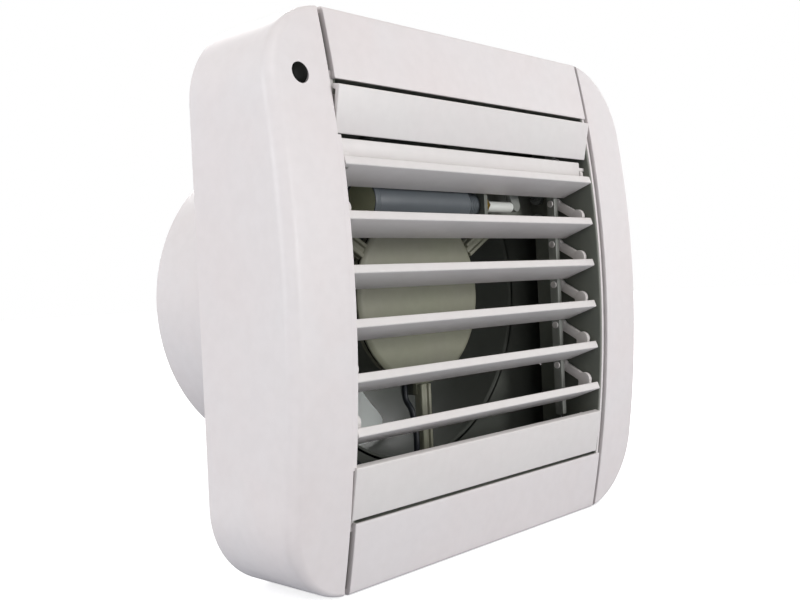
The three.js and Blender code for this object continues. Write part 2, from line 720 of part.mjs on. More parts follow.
// A tension spring pulls the bar down, which shuts the louvres when the fan is off.
function returnSpring() {
  const top = tieBarBottomZ - springGap;
  const bottom = springAnchorZ + springGap;
  const coilTop = top - 1.2;
  const coilBottom = bottom + 1.2;
  const stepsPerTurn = 7;
  const points = [[springX, tieBarY, tieBarBottomZ + springTail - 1.2], [springX, tieBarY, top]];
  for (let i = 0; i <= springTurns * stepsPerTurn; i += 1) {
    const angle = (i / stepsPerTurn) * 2 * Math.PI;
    const z = coilTop + (coilBottom - coilTop) * (i / (springTurns * stepsPerTurn));
    const [across, along] = [springRadius * Math.cos(angle), springRadius * Math.sin(angle)];
    points.push([springX + across, tieBarY + along, z]);
  }
  points.push([springX, tieBarY, bottom], [springX, tieBarY, springAnchorZ - springTail + 1.2]);
  return tubeAlong(points, springWire, 5, points.length + 20);
}

node('return_spring', returnSpring(), springSteel);

// ---------------------------------------------------------------- bell crank
function bellCrank() {
  const frontFaceY = bellRearY - bellWall;
  const turn = bellOpenAngle;
  const tipX = bellPivotX + plungerArm * Math.sin(turn);
  const tipZ = bellPivotZ - plungerArm * Math.cos(turn);
  const pinRearY = bellRearY - 0.5;
  const pinFrontY = lugY0 - lugPinOverlap;
  const armToPin = linkShape(bellPivotX, bellPivotZ, bellArmHalf, bellPinX, bellPinZ, bellEndHalf);
  const armToPlunger = linkShape(bellPivotX, bellPivotZ, bellArmHalf, tipX, tipZ, bellTipHalf);
  const crank = join(
    slabY(armToPin, frontFaceY, bellRearY, 8),
    slabY(armToPlunger, frontFaceY, bellRearY, 8),
    rod('y', bellHubRadius, frontFaceY, bellRearY, bellPivotX, bellPivotZ, 20),
    rod('y', bellPinRadius, pinFrontY, pinRearY, bellPinX, bellPinZ, 12));
  return cut(crank, rod('y', pivotShoulderRadius + runGap, frontFaceY - 1, bellRearY + 1,
    bellPivotX, bellPivotZ, 20));
}

node('bell_crank', bellCrank(), linkPlastic);

// ---------------------------------------------------------------- actuator and its bracket
const bracketFrontY = bracketRearY - bracketWall;
const pivotBossFrontY = bellRearY + fitGap;
const footX1 = railInnerX - fitGap;
const footX0 = footX1 - footWall;

function actuatorBracket() {
  const [z0, z1] = [actuatorZ - bracketHalf, actuatorZ + bracketHalf];
  const footHalf = bracketHalf + 1.5;
  const cradle = cut(
    block(cradleX - cradleWidth / 2, cradleX + cradleWidth / 2, actuatorY + 1, bracketRearY,
      z0 - cradleLip, z1 + cradleLip),
    rod('x', actuatorRadius + fitGap, cradleX - cradleWidth, cradleX + cradleWidth,
      actuatorY, actuatorZ, 28));
  const upright = cut(
    block(uprightX, uprightX + bracketWall, actuatorY - noseRadius - 2, bracketRearY, z0, z1),
    rod('x', noseRadius + fitGap, uprightX - 1, uprightX + bracketWall + 1,
      actuatorY, actuatorZ, 20));
  const earTopZ = bellPivotZ + bellEarHalf - 1;
  const screwHole = (z) => rod('x', screwRadius + fitGap, footX0 - 1, footX1 + 1, bracketScrewY, z, 12);
  return cut(
    join(
      block(cradleX - cradleWidth / 2, footX1, bracketFrontY, bracketRearY, z0, z1),
      block(bellPivotX - bellEarHalf, bellPivotX + bellEarHalf, bracketFrontY, bracketRearY,
        z1 - 1, earTopZ),
      rod('y', bellBossRadius, pivotBossFrontY, bracketRearY - 0.5, bellPivotX, bellPivotZ, 18),
      block(footX0, footX1, footFrontY, bracketRearY, actuatorZ - footHalf, actuatorZ + footHalf),
      cradle, upright),
    rod('y', bellScrewRadius + fitGap, pivotBossFrontY - 1, bracketRearY + 1,
      bellPivotX, bellPivotZ, 12),
    ...bracketScrewZ.map(screwHole));
}

node('actuator_bracket', actuatorBracket(), innerPlastic);

bracketScrewZ.forEach((z, i) => {
  const tip = frameHalf + railBossDepth - 1;
  node(`bracket_screw_${i + 1}`, screw('x', footX0 - fitGap, tip, bracketScrewY, z), zincSteel);
});

const shoulderFrontY = bellRearY - bellWall - fitGap;
node('bell_crank_screw', join(
  rod('y', bellBossRadius, shoulderFrontY - screwHeadHeight, shoulderFrontY,
    bellPivotX, bellPivotZ, 18),
  rod('y', pivotShoulderRadius, shoulderFrontY - 0.5, bellRearY + 0.1, bellPivotX, bellPivotZ, 18),
  rod('y', bellScrewRadius, bellRearY - 0.5, bracketFrontY, bellPivotX, bellPivotZ, 12)), zincSteel);

const noseEndX = actuatorRightX + noseLength;
const plungerTravel = 2 * plungerArm * Math.sin(bellOpenAngle);
const plungerStartX = actuatorRightX + 0.5;
node('actuator_body', cut(
  join(
    rod('x', actuatorRadius, actuatorLeftX, actuatorRightX, actuatorY, actuatorZ, 32),
    rod('x', noseRadius, actuatorRightX - 0.5, noseEndX, actuatorY, actuatorZ, 20)),
  rod('x', plungerRadius + runGap, plungerStartX - plungerTravel - 1, noseEndX + 1,
    actuatorY, actuatorZ, 16)), actuatorPlastic);

node('actuator_cap', cut(
  rod('x', capRadius, actuatorLeftX - capLength, actuatorLeftX - fitGap, actuatorY, actuatorZ, 36),
  rod('x', capRadius - capRim, actuatorLeftX - capLength - 1, actuatorLeftX - capLength + capDish,
    actuatorY, actuatorZ, 36)), brightPlastic);

const noseNutX = uprightX + bracketWall + fitGap;
node('actuator_nut', pipe('x', noseNutRadius, noseRadius + fitGap, noseNutX, noseNutX + noseNutWall,
  actuatorY, actuatorZ, 24), brass);

const armReach = (plungerArm - plungerRadius) * Math.tan(bellOpenAngle);
const armHalf = (bellTipHalf + 0.3) / Math.cos(bellOpenAngle);
const plungerTipX = bellPivotX + armReach - armHalf - fitGap;
node('actuator_plunger', rod('x', plungerRadius, plungerStartX, plungerTipX, actuatorY, actuatorZ, 16),
  brightPlastic);

// ---------------------------------------------------------------- back plate and duct
const boardScrews = [
  [boardX - boardWidth / 2 + 3.5, boardZ - boardHeight / 2 + 3.5],
  [boardX + boardWidth / 2 - 2.6, boardZ + boardHeight / 2 - 3.5],
];

function supportFoot(angle) {
  return [supportScrewCircle * Math.cos(angle * rad), supportScrewCircle * Math.sin(angle * rad)];
}

function backHousing() {
  const coverInset = coverWall + fitGap;
  const hx = halfWidth - coverInset;
  const hz = halfHeight - coverInset;
  const r = cornerRadius - coverInset;
  const plate = slabY(roundedRectangle(hx, hz, r), -plateWall, 0, 8);
  const rim = cut(
    slabY(roundedRectangle(hx, hz, r), -plateRim, -plateWall + 0.5, 8),
    slabY(roundedRectangle(hx - plateRimWall, hz - plateRimWall, r - plateRimWall),
      -plateRim - 1, 1, 8));
  let housing = join(plate, rim, rod('y', ductRadius, -1, ductLength, 0, 0, roundSides));
  const cuts = [rod('y', ductBore, -plateRim - 1, ductLength + 1, 0, 0, roundSides)];
  for (const angle of strutAngles) {
    const [x, z] = supportFoot(angle);
    housing = join(housing, rod('y', supportFootRadius - 1, strutRearY + fitGap, -1, x, z, 16));
    cuts.push(rod('y', screwRadius + fitGap, strutRearY - 1, -blindFloor, x, z, 10));
  }
  for (const [x, z] of boardScrews) {
    housing = join(housing, rod('y', boardPostRadius, boardRearY + fitGap, -1, x, z, 16));
    cuts.push(rod('y', boardScrewRadius + fitGap, boardRearY - 1, -plateWall, x, z, 10));
  }
  for (const sx of [-1, 1]) {
    for (const sz of [-1, 1]) {
      cuts.push(rod('y', wallHoleRadius, -plateRim, 1, sx * wallHoleX, sz * wallHoleZ, 12));
      const [x0, x1] = ordered(sx * (hx - plateRimWall - 1), sx * (hx + 1));
      const slotHalf = hookWidth / 2 + hookSideGap;
      cuts.push(block(x0, x1, hookY - fitGap, hookY + hookDepth + fitGap,
        sz * hookZ - slotHalf, sz * hookZ + slotHalf));
    }
  }
  cuts.push(rod('y', inletRadius, -plateRim, 1, inletX, inletZ, 24));
  return cut(housing, ...cuts);
}

node('back_housing', backHousing(), casingPlastic);

// ---------------------------------------------------------------- motor support
const flangeZ0 = statorBottom - 2.9;

function motorSupport() {
  const floorY = supportRearY - supportFloorWall;
  let support = join(
    pipe('y', supportRadius, supportRadius - supportWall, supportFrontY, supportRearY, 0, 0, hubSides),
    pipe('y', supportRadius - 0.5, 8, floorY, supportRearY, 0, 0, hubSides));
  for (const angle of strutAngles) {
    const turn = new THREE.Matrix4().makeRotationY(-angle * rad);
    const length = supportScrewCircle;
    const barStart = supportRadius + fitGap;
    const bar = new THREE.BoxGeometry(length - barStart, strutRearY - strutFrontY, strutWidth);
    bar.translate((length + barStart) / 2, (strutRearY + strutFrontY) / 2, 0);
    const trough = new THREE.BoxGeometry(length - supportRadius - 8, strutRearY - strutFrontY,
      strutWidth - 2 * strutWall);
    trough.translate((length + supportRadius - 4) / 2, (strutRearY + strutFrontY) / 2 - strutWall, 0);
    const root = new THREE.BoxGeometry(5, strutGusset, strutWidth);
    root.translate(supportRadius + 1.5, supportFrontY + strutGusset / 2, 0);
    const place = (geometry) => solid(geometry.applyMatrix4(turn));
    const [x, z] = supportFoot(angle);
    support = join(support, cut(place(bar), place(trough)), place(root),
      rod('y', supportFootRadius, strutFrontY, strutRearY, x, z, 20));
    support = cut(support, rod('y', screwRadius + fitGap, -15, 15, x, z, 12));
  }
  support = cut(support, rod('z', leadRadius + fitGap, -supportRadius - 1, flangeZ0 - 1,
    -leadNotchX, leadNotchY, 8));
  for (const side of [-1, 1]) {
    const [x, z] = [side * motorScrewX, side * motorScrewZ];
    const boss = rod('y', motorBossRadius, statorFrontY + statorDepth + 1.9, floorY + 0.5, x, z, 14);
    support = cut(join(support, boss),
      rod('y', motorScrewRadius + fitGap, 0, supportRearY + 1, x, z, 12));
  }
  return support;
}

node('motor_support', motorSupport(), supportPlastic);

strutAngles.forEach((angle, i) => {
  node(`support_screw_${i + 1}`, screw('y', strutFrontY - fitGap, -blindFloor - fitGap,
    ...supportFoot(angle)), zincSteel);
});

const motorCoverRearY = motorCoverFrontY + motorCoverWall;
node('motor_cover', join(
  rod('y', supportRadius, motorCoverFrontY, motorCoverRearY, 0, 0, hubSides),
  pipe('y', supportRadius - supportWall - fitGap, supportRadius - supportWall - 1.6,
    motorCoverRearY - 0.5, supportFrontY + 2.2, 0, 0, hubSides)), supportPlastic);

// ---------------------------------------------------------------- motor
const statorRearY = statorFrontY + statorDepth;
const legZ = statorBottom + legHalf;
const windowTop = -rotorRadius - airGap - boreWall;

function statorCore() {
  const [chamferX, chamferZ] = [statorHalf - 3, statorBottom + 5];
  const outline = polygon([[-statorHalf, statorTop], [-statorHalf, chamferZ], [-chamferX, statorBottom],
    [chamferX, statorBottom], [statorHalf, chamferZ], [statorHalf, statorTop]]);
  const core = slabY(outline, statorFrontY, statorRearY);
  const window = block(-windowHalf, windowHalf, statorFrontY - 1, statorRearY + 1,
    legZ + legHalf, windowTop);
  const bore = rod('y', rotorRadius + airGap, statorFrontY - 1, statorRearY + 1, 0, 0, hubSides);
  const slit = block(-0.7, 0.7, statorFrontY - 1, statorRearY + 1, legZ + legHalf, 0);
  const holes = [-1, 1].map((side) => rod('y', motorScrewRadius + fitGap,
    statorFrontY - 1, statorRearY + 1, side * motorScrewX, side * motorScrewZ, 8));
  return cut(core, window, bore, slit, ...holes);
}

node('stator_core', statorCore(), laminatedSteel);

const flangeZ1 = windowTop - fitGap;

function aroundLeg(x0, x1, outY, z0, z1, inY, inZ) {
  return cut(
    block(x0, x1, statorFrontY - outY, statorRearY + outY, z0, z1),
    block(x0 - 1, x1 + 1, statorFrontY - inY, statorRearY + inY,
      legZ - legHalf - inZ, legZ + legHalf + inZ));
}

node('bobbin', join(
  aroundLeg(-coilX, coilX, coilGap + bobbinWall, legZ - legHalf - coilGap - bobbinWall,
    legZ + legHalf + coilGap + bobbinWall, coilGap, coilGap),
  ...[-1, 1].map((side) => {
    const [x0, x1] = ordered(side * coilX, side * (coilX + bobbinFlange));
    return aroundLeg(x0, x1, 3.6, flangeZ0, flangeZ1, coilGap, coilGap);
  })), bobbinPlastic);

const windingIn = coilGap + bobbinWall + fitGap;
node('coil_winding', aroundLeg(-coilX + fitGap, coilX - fitGap, windingIn + windingWall - 0.2,
  flangeZ0 + 0.3, flangeZ1 - 0.3, windingIn, windingIn), copper);

const rotorFrontY = statorFrontY + 0.5;
const rotorRearY = statorRearY - 0.5;
node('rotor', pipe('y', rotorRadius, shaftRadius + fitGap, rotorFrontY, rotorRearY, 0, 0, 24),
  rotorAluminium);
node('motor_shaft', rod('y', shaftRadius, shaftFrontY, shaftRearY, 0, 0, 16), zincSteel);

function bearingBracket(y0, y1) {
  const heading = Math.atan2(motorScrewZ, motorScrewX);
  const reach = Math.hypot(motorScrewX, motorScrewZ);
  const plate = linkShape(-reach * Math.cos(heading), -reach * Math.sin(heading), 3.4,
    reach * Math.cos(heading), reach * Math.sin(heading), 3.4);
  const disc = rod('y', bushRadius + 3, y0, y1, 0, 0, 16);
  const holes = [-1, 1].map((side) => rod('y', motorScrewRadius + fitGap, y0 - 1, y1 + 1,
    side * motorScrewX, side * motorScrewZ, 8));
  const bore = rod('y', bushRadius + fitGap, y0 - 1, y1 + 1, 0, 0, 14);
  return cut(join(slabY(plate, y0, y1, 5), disc), bore, ...holes);
}

const frontBracketY = statorFrontY - fitGap - bracketPlate;
const rearBracketY = statorRearY + fitGap;
node('front_bearing_bracket', bearingBracket(frontBracketY, frontBracketY + bracketPlate), zincSteel);
node('rear_bearing_bracket', bearingBracket(rearBracketY, rearBracketY + bracketPlate), zincSteel);
const bushY = frontBracketY + bracketPlate - bushLength;
node('front_bush', pipe('y', bushRadius, shaftRadius + runGap, bushY, bushY + bushLength,
  0, 0, 14), bronze);
node('rear_bush', pipe('y', bushRadius, shaftRadius + runGap, rearBracketY, rearBracketY + bushLength,
  0, 0, 14), bronze);
[-1, 1].forEach((side, i) => {
  node(`motor_screw_${i + 1}`, screw('y', frontBracketY - fitGap, supportRearY - 0.5,
    side * motorScrewX, side * motorScrewZ, motorScrewRadius), zincSteel);
});

// ---------------------------------------------------------------- impeller
// One blade: chord and pitch change from hub to tip, and the section is slightly curved.
function impellerBlade(startAngle) {
  const [radialSteps, chordSteps] = [4, 4];
  const middleY = hubFrontY + hubDepth / 2;
  const rootRadius = hubRadius - hubWall * 0.6;
  const sweep = impellerSweep * rad;
  const grid = (side) => {
    const points = [];
    for (let i = 0; i <= radialSteps; i += 1) {
      const u = i / radialSteps;
      const radius = rootRadius + (impellerTipRadius - rootRadius) * u;
      const chord = impellerChordRoot + (impellerChordTip - impellerChordRoot) * u;
      const pitch = (impellerPitchRoot + (impellerPitchTip - impellerPitchRoot) * u) * rad;
      for (let j = 0; j <= chordSteps; j += 1) {
        const v = j / chordSteps - 0.5;
        const around = v * chord * Math.cos(pitch);
        const thick = (impellerBladeWall / 2) * (1 - 0.5 * (2 * v) ** 2);
        const bow = impellerCamber * (0.25 - v * v) * 2;
        const y = middleY + v * chord * Math.sin(pitch) - bow + side * thick;
        const angle = startAngle + around / radius + sweep * u;
        points.push(radius * Math.cos(angle), y, radius * Math.sin(angle));
      }
    }
    return points;
  };
  const positions = [...grid(-1), ...grid(1)];
  const row = chordSteps + 1;
  const layer = row * (radialSteps + 1);
  const index = [];
  const quad = (a, b, c, d) => index.push(a, b, c, a, c, d);
  for (let i = 0; i < radialSteps; i += 1) {
    for (let j = 0; j < chordSteps; j += 1) {
      const a = i * row + j;
      quad(a, a + row, a + row + 1, a + 1);
      quad(layer + a, layer + a + 1, layer + a + row + 1, layer + a + row);
    }
    const [low, high] = [i * row, i * row + chordSteps];
    quad(low, layer + low, layer + low + row, low + row);
    quad(high, high + row, layer + high + row, layer + high);
  }
  for (let j = 0; j < chordSteps; j += 1) {
    const [root, tip] = [j, radialSteps * row + j];
    quad(root, root + 1, layer + root + 1, layer + root);
    quad(tip, layer + tip, layer + tip + 1, tip + 1);
  }
  const geometry = new THREE.BufferGeometry();
  geometry.setAttribute('position', new THREE.Float32BufferAttribute(positions, 3));
  geometry.setIndex(index);
  return solid(geometry);
}

function impeller() {
  const hubRearY = hubFrontY + hubDepth;
  let wheel = join(
    rod('y', hubRadius, hubFrontY, hubFrontY + hubWall, 0, 0, hubSides),
    pipe('y', hubRadius, hubRadius - hubWall, hubFrontY + 0.5, hubRearY, 0, 0, hubSides),
    rod('y', hubBossRadius, hubFrontY + 0.5, hubRearY - hubBossDrop, 0, 0, 24));
  for (let i = 0; i < impellerBlades; i += 1) {
    wheel = join(wheel, impellerBlade(impellerStart * rad + (i * 2 * Math.PI) / impellerBlades));
  }
  const inside = cut(
    rod('y', hubRadius - hubWall - 0.05, hubFrontY + hubWall, hubRearY + 5, 0, 0, hubSides),
    rod('y', hubBossRadius, hubFrontY, hubRearY - hubBossDrop, 0, 0, 24));
  return cut(wheel, inside, rod('y', shaftRadius + fitGap, hubFrontY - 1, hubRearY + 1, 0, 0, 16));
}

node('impeller', impeller(), impellerPlastic);
const nutY = hubFrontY + hubDepth - hubBossDrop + fitGap;
node('impeller_nut', pipe('y', nutRadius, shaftRadius + fitGap, nutY, nutY + nutHeight,
  0, 0, 6), brass);

// ---------------------------------------------------------------- terminal block and inlet
const terminalRearY = -plateWall - fitGap;
const terminalFrontY = terminalRearY - terminalHeight;
const wireWayY = [terminalRearY - 6.5, terminalRearY - 2.5];
const poleX = (i) => terminalX + terminalLength * ((i + 0.5) / terminalPoles - 0.5);

function terminalBlock() {
  const [z0, z1] = [terminalZ - terminalWidth / 2, terminalZ + terminalWidth / 2];
  let body = block(terminalX - terminalLength / 2, terminalX + terminalLength / 2,
    terminalFrontY, terminalRearY, z0, z1);
  for (let i = 0; i < terminalPoles; i += 1) {
    body = cut(body,
      block(poleX(i) - wireWayHalf, poleX(i) + wireWayHalf, ...wireWayY, z0 - 1, z1 + 1),
      rod('y', clampRadius + fitGap, terminalFrontY - 1, wireWayY[0] + 1, poleX(i), terminalZ, 14));
  }
  return body;
}

node('terminal_block', terminalBlock(), terminalPlastic);
for (let i = 0; i < terminalPoles; i += 1) {
  node(`terminal_screw_${i + 1}`, rod('y', clampRadius, terminalFrontY + 0.8, wireWayY[1] - fitGap,
    poleX(i), terminalZ, 12), brass);
}

const flangeRearY = -plateWall - fitGap;
node('cable_grommet', cut(
  join(
    rod('y', inletRadius - fitGap, flangeRearY - 0.5, 0, inletX, inletZ, 24),
    rod('y', inletRadius + grommetFlange, flangeRearY - grommetFlange, flangeRearY,
      inletX, inletZ, 24)),
  rod('y', grommetBore, -plateWall - 5, 1, inletX, inletZ, 20)), rubber);

// ---------------------------------------------------------------- control board and lamp
const boardFrontY = boardRearY - boardWall;

function controlBoard() {
  const [x0, x1] = [boardX - boardWidth / 2, boardX + boardWidth / 2];
  const [z0, z1] = [boardZ - boardHeight / 2, boardZ + boardHeight / 2];
  const outline = polygon([[x0, z0], [x1, z0], [x1, z1],
    [x0 + boardCorner, z1], [x0, z1 - boardCorner]]);
  const inBoard = boardFrontY + 0.4;
  const screwHole = ([x, z]) => rod('y', boardScrewRadius + fitGap,
    boardFrontY - 1, boardRearY + 1, x, z, 10);
  const relay = block(x0 + 11.5, x0 + 16.5, boardFrontY - 9, inBoard, z0 + 5, z0 + 16);
  const capacitor = rod('y', 4, boardFrontY - 10, inBoard, x0 + 6.5, lampZ - 11.9, 20);
  const chip = block(x0 + 9.5, x0 + 16.5, boardFrontY - 5, inBoard, z0 + 18.5, z0 + 24);
  return cut(
    join(slabY(outline, boardFrontY, boardRearY), relay, capacitor, chip),
    ...boardScrews.map(screwHole));
}

node('control_board', controlBoard(), boardGreen);
boardScrews.forEach(([x, z], i) => {
  node(`board_screw_${i + 1}`, screw('y', boardFrontY - fitGap, -plateWall - 0.5, x, z,
    boardScrewRadius, 2 * boardScrewRadius), zincSteel);
});

const lensFrontY = frontY(lampZ) - lensProud;
const lensRearY = frontY(lampZ) + lensLength;
const lensStepY = lensRearY - 4.5;
const ledFrontY = lensRearY + fitGap;
const ledRearY = ledFrontY + ledLength;
node('lamp_lens', join(
  rod('y', lampRadius, lensFrontY, lensStepY, lampX, lampZ, 20),
  rod('y', lampRadius - 0.9, lensStepY - 0.5, lensRearY, lampX, lampZ, 16)), blackGloss);
node('pilot_led', join(
  rod('y', lampRadius - 0.6, ledFrontY, ledRearY, lampX, lampZ, 16),
  ...[-ledPinX, ledPinX].map((x) => block(lampX + x - ledPinHalf, lampX + x + ledPinHalf,
    ledRearY - 0.5, boardFrontY - fitGap, lampZ - ledPinHalf, lampZ + ledPinHalf))), brightPlastic);

// ---------------------------------------------------------------- internal leads
const leadEndZ = terminalZ + clampRadius + fitGap;
const leadY = (wireWayY[0] + wireWayY[1]) / 2;
const boardMiddleY = (boardFrontY + boardRearY) / 2;
const boardRight = boardX + boardWidth / 2;


// A point beside the duct's mouth, within the circle of the support's screws.
function roundMouth(angle, inset) {
  const radius = supportScrewCircle - inset;
  return [radius * Math.cos(angle * rad), -6, radius * Math.sin(angle * rad)];
}

// From the terminals round the duct's mouth, along the lower strut and through the ring.
node('motor_lead', tubeAlong([
  [poleX(1), leadY, leadEndZ], [poleX(1), leadY, terminalZ + 8],
  [terminalX + 6.5, leadY + 0.9, terminalZ + 14], roundMouth(225.3, 1.1), roundMouth(241.5, 1.6),
  roundMouth(257.5, 2), [-leadNotchX - 1.7, -5.8, 6.5 - supportScrewCircle],
  [-leadNotchX, -5.5, -supportRadius - 18.5], [-leadNotchX, -4, -supportRadius - 9.5],
  [-leadNotchX, leadNotchY, -supportRadius - 4.5], [-leadNotchX, leadNotchY, flangeZ0]],
leadRadius, 6, 30), wireBlue);

// From the terminals up the left side to the control board's lower edge.
node('board_lead', tubeAlong([
  [poleX(0), leadY, leadEndZ], [poleX(0), leadY, terminalZ + 13], [poleX(0), leadY, boardBottomZ - 60],
  [poleX(0), leadY - 0.5, boardBottomZ - 25], [poleX(0), boardMiddleY, boardBottomZ - 8],
  [poleX(0), boardMiddleY, boardBottomZ - fitGap]],
leadRadius, 6, 14), wireBrown);

// From the back of the actuator to the control board's right edge.
const leadStartX = actuatorLeftX + 12;
const leadStartY = actuatorY + actuatorRadius + fitGap;
node('actuator_lead', tubeAlong([
  [leadStartX, leadStartY, actuatorZ], [leadStartX, leadStartY + 1.4, actuatorZ],
  [leadStartX - 2, leadStartY + 3.4, actuatorZ + 2.5], [leadStartX - 8, leadStartY + 3.8, actuatorZ + 8],
  [(leadStartX + boardRight) / 2 - 1, leadStartY + 3.8, actuatorZ + 12], [boardRight + 6, boardMiddleY, boardZ - 6],
  [boardRight + fitGap, boardMiddleY, boardZ - 5.5]],
leadRadius, 6, 14), rubber);

// ---------------------------------------------------------------- frame screws
for (const [i, [sx, sz]] of [[-1, 1], [1, 1], [-1, -1], [1, -1]].entries()) {
  const seat = tabFrontY + tabWall + fitGap;
  node(`frame_screw_${i + 1}`, screw('y', seat, -sideDepth, sx * frameScrewX, sz * frameScrewZ),
    zincSteel);
}

export default fan;
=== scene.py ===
"""Window exhaust fan with an automatic louvre shutter: the looks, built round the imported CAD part.

Shapes are worked out in millimetres in the part's own frame: the origin is on the duct's axis in
the wall plane, the louvred front faces -Y, the duct spigot points along +Y, and +Z is up.
"""
import math
from types import SimpleNamespace

import bmesh
import bpy
import numpy as np
from bpy.props import FloatProperty, FloatVectorProperty, IntProperty, PointerProperty
from mathutils import Matrix, Vector


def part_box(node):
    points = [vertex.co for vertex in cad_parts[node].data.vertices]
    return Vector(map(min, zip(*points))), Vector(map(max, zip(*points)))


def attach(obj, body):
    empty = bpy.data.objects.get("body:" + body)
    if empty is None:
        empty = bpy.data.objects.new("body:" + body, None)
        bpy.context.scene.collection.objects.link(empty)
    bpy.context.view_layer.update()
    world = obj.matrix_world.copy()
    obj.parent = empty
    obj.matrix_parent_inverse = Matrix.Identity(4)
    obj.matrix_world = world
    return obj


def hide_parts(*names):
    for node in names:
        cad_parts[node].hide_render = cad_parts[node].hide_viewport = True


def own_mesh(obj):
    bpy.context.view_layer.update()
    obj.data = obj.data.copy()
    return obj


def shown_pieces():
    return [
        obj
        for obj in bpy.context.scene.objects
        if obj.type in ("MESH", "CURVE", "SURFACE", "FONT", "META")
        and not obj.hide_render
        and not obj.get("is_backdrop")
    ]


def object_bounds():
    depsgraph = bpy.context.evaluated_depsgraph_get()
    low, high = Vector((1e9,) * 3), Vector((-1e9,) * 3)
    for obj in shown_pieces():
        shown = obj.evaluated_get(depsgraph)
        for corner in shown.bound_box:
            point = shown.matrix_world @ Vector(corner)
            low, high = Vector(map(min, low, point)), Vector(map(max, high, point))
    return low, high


bl_info = {
    "name": "Exhaust fan",
    "version": (1, 0, 0),
    "blender": (4, 5, 0),
    "location": "3D View > Sidebar > Exhaust fan",
    "description": "Builds a louvred window exhaust fan round its CAD frame",
    "category": "Object",
}

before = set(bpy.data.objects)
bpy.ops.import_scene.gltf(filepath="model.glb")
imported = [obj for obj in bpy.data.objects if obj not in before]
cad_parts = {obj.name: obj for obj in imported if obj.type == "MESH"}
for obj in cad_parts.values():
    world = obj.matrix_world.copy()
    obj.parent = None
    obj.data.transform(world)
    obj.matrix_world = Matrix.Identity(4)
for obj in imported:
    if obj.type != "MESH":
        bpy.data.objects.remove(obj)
CAD_BOX = [list(corner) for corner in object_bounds()]

MM = 0.001
MERGED, SLIVER = 2e-6, 1e-7     # points this close become one, and edges this short go, in metres
MITRE_FLOOR = 0.3               # least divisor of a mitre, so that a sharp corner stays near
QUARTERS = [(-1, -1), (-1, 1), (1, -1), (1, 1)]    # signs of x and z in the face's quarters

# ------------------------------------------------------------------ outlines in a plane


def polar(radius, angles):
    """Points of a circle of that radius at the given angles."""
    return np.stack([radius * np.cos(angles), radius * np.sin(angles)], -1)


def circle(radius, sides, centre=(0.0, 0.0)):
    """A closed circle as a polygon of that many sides, counter-clockwise."""
    return polar(radius, np.arange(sides) * 2 * math.pi / sides) + np.asarray(centre)


def filleted(corners, steps=4):
    """A polygon of (u, v, radius) corners with each corner replaced by a tangent arc.

    The arc's ends lie radius / tan(half the corner's angle) from the corner along both sides,
    and its points turn evenly from one side's direction to the other's.
    """
    c = np.array([p[:2] for p in corners], float)
    points = []
    for here, before, after, corner in zip(c, np.roll(c, 1, 0), np.roll(c, -1, 0), corners):
        radius = corner[2] if len(corner) > 2 else 0.0
        if radius <= 0:
            points.append(here[None])
            continue
        a, b = before - here, after - here
        a, b = a / np.linalg.norm(a), b / np.linalg.norm(b)
        half = math.acos(np.clip(a @ b, -1, 1)) / 2
        middle = here + (a + b) / np.linalg.norm(a + b) * radius / math.sin(half)
        reach = radius / math.tan(half)
        start, end = here + a * reach - middle, here + b * reach - middle
        first = math.atan2(start[1], start[0])
        sweep = (math.atan2(end[1], end[0]) - first + math.pi) % (2 * math.pi) - math.pi
        points.append(middle + polar(radius, first + sweep * np.linspace(0, 1, steps + 1)))
    return np.concatenate(points)


def offset(outline, distance):
    """A closed outline drawn in by distance: each point moves along its mitred normal."""
    following = np.roll(outline, -1, 0)
    ahead = following - outline
    ahead /= np.linalg.norm(ahead, axis=1)[:, None]
    normal = np.stack([-ahead[:, 1], ahead[:, 0]], -1)
    before = np.roll(normal, 1, 0)
    area = np.sum(outline[:, 0] * following[:, 1] - following[:, 0] * outline[:, 1])
    scale = np.maximum(1 + np.sum(normal * before, 1, keepdims=True), MITRE_FLOOR)
    return outline + math.copysign(distance, area) * (normal + before) / scale


def rounded_box(hx, hz, radius, steps=10, centre=(0.0, 0.0)):
    """A rectangle of those half sizes with rounded corners."""
    corners = [(hx, hz, radius), (-hx, hz, radius), (-hx, -hz, radius), (hx, -hz, radius)]
    return filleted(corners, steps) + np.asarray(centre)


def link(a, ra, b, rb, steps=8):
    """A bar with round ends of radius ra at a and rb at b."""
    a, b = np.asarray(a, float), np.asarray(b, float)
    heading = math.atan2(*(b - a)[::-1])
    turn = np.linspace(-0.5, 0.5, steps + 1) * math.pi
    return np.concatenate([b + polar(rb, heading + turn), a + polar(ra, heading + math.pi + turn)])


# ------------------------------------------------------------------ surfaces from arrays


def grid(points, wrap=False, caps=False):
    """Faces over a grid of points[row, column]. wrap joins the last column to the first, and
    caps closes the first and the last row."""
    rows, columns = points.shape[:2]
    index = np.arange(rows * columns).reshape(rows, columns)
    ring = np.hstack([index, index[:, :1]]) if wrap else index
    faces = np.stack([ring[:-1, :-1], ring[:-1, 1:], ring[1:, 1:], ring[1:, :-1]], -1)
    faces = faces.reshape(-1, 4).tolist()
    if caps:
        faces += [index[0, ::-1].tolist(), index[-1].tolist()]
    return points.reshape(-1, 3), faces


AXES = {"x": (2, 0, 1), "y": (0, 2, 1), "z": (0, 1, 2)}     # which of u, v and w is x, y and z


def placed(u, v, w, axis):
    """Points from plane coordinates u, v and the height w along an axis."""
    stack = np.stack(np.broadcast_arrays(u, v, w), -1)
    return stack[..., list(AXES[axis])]


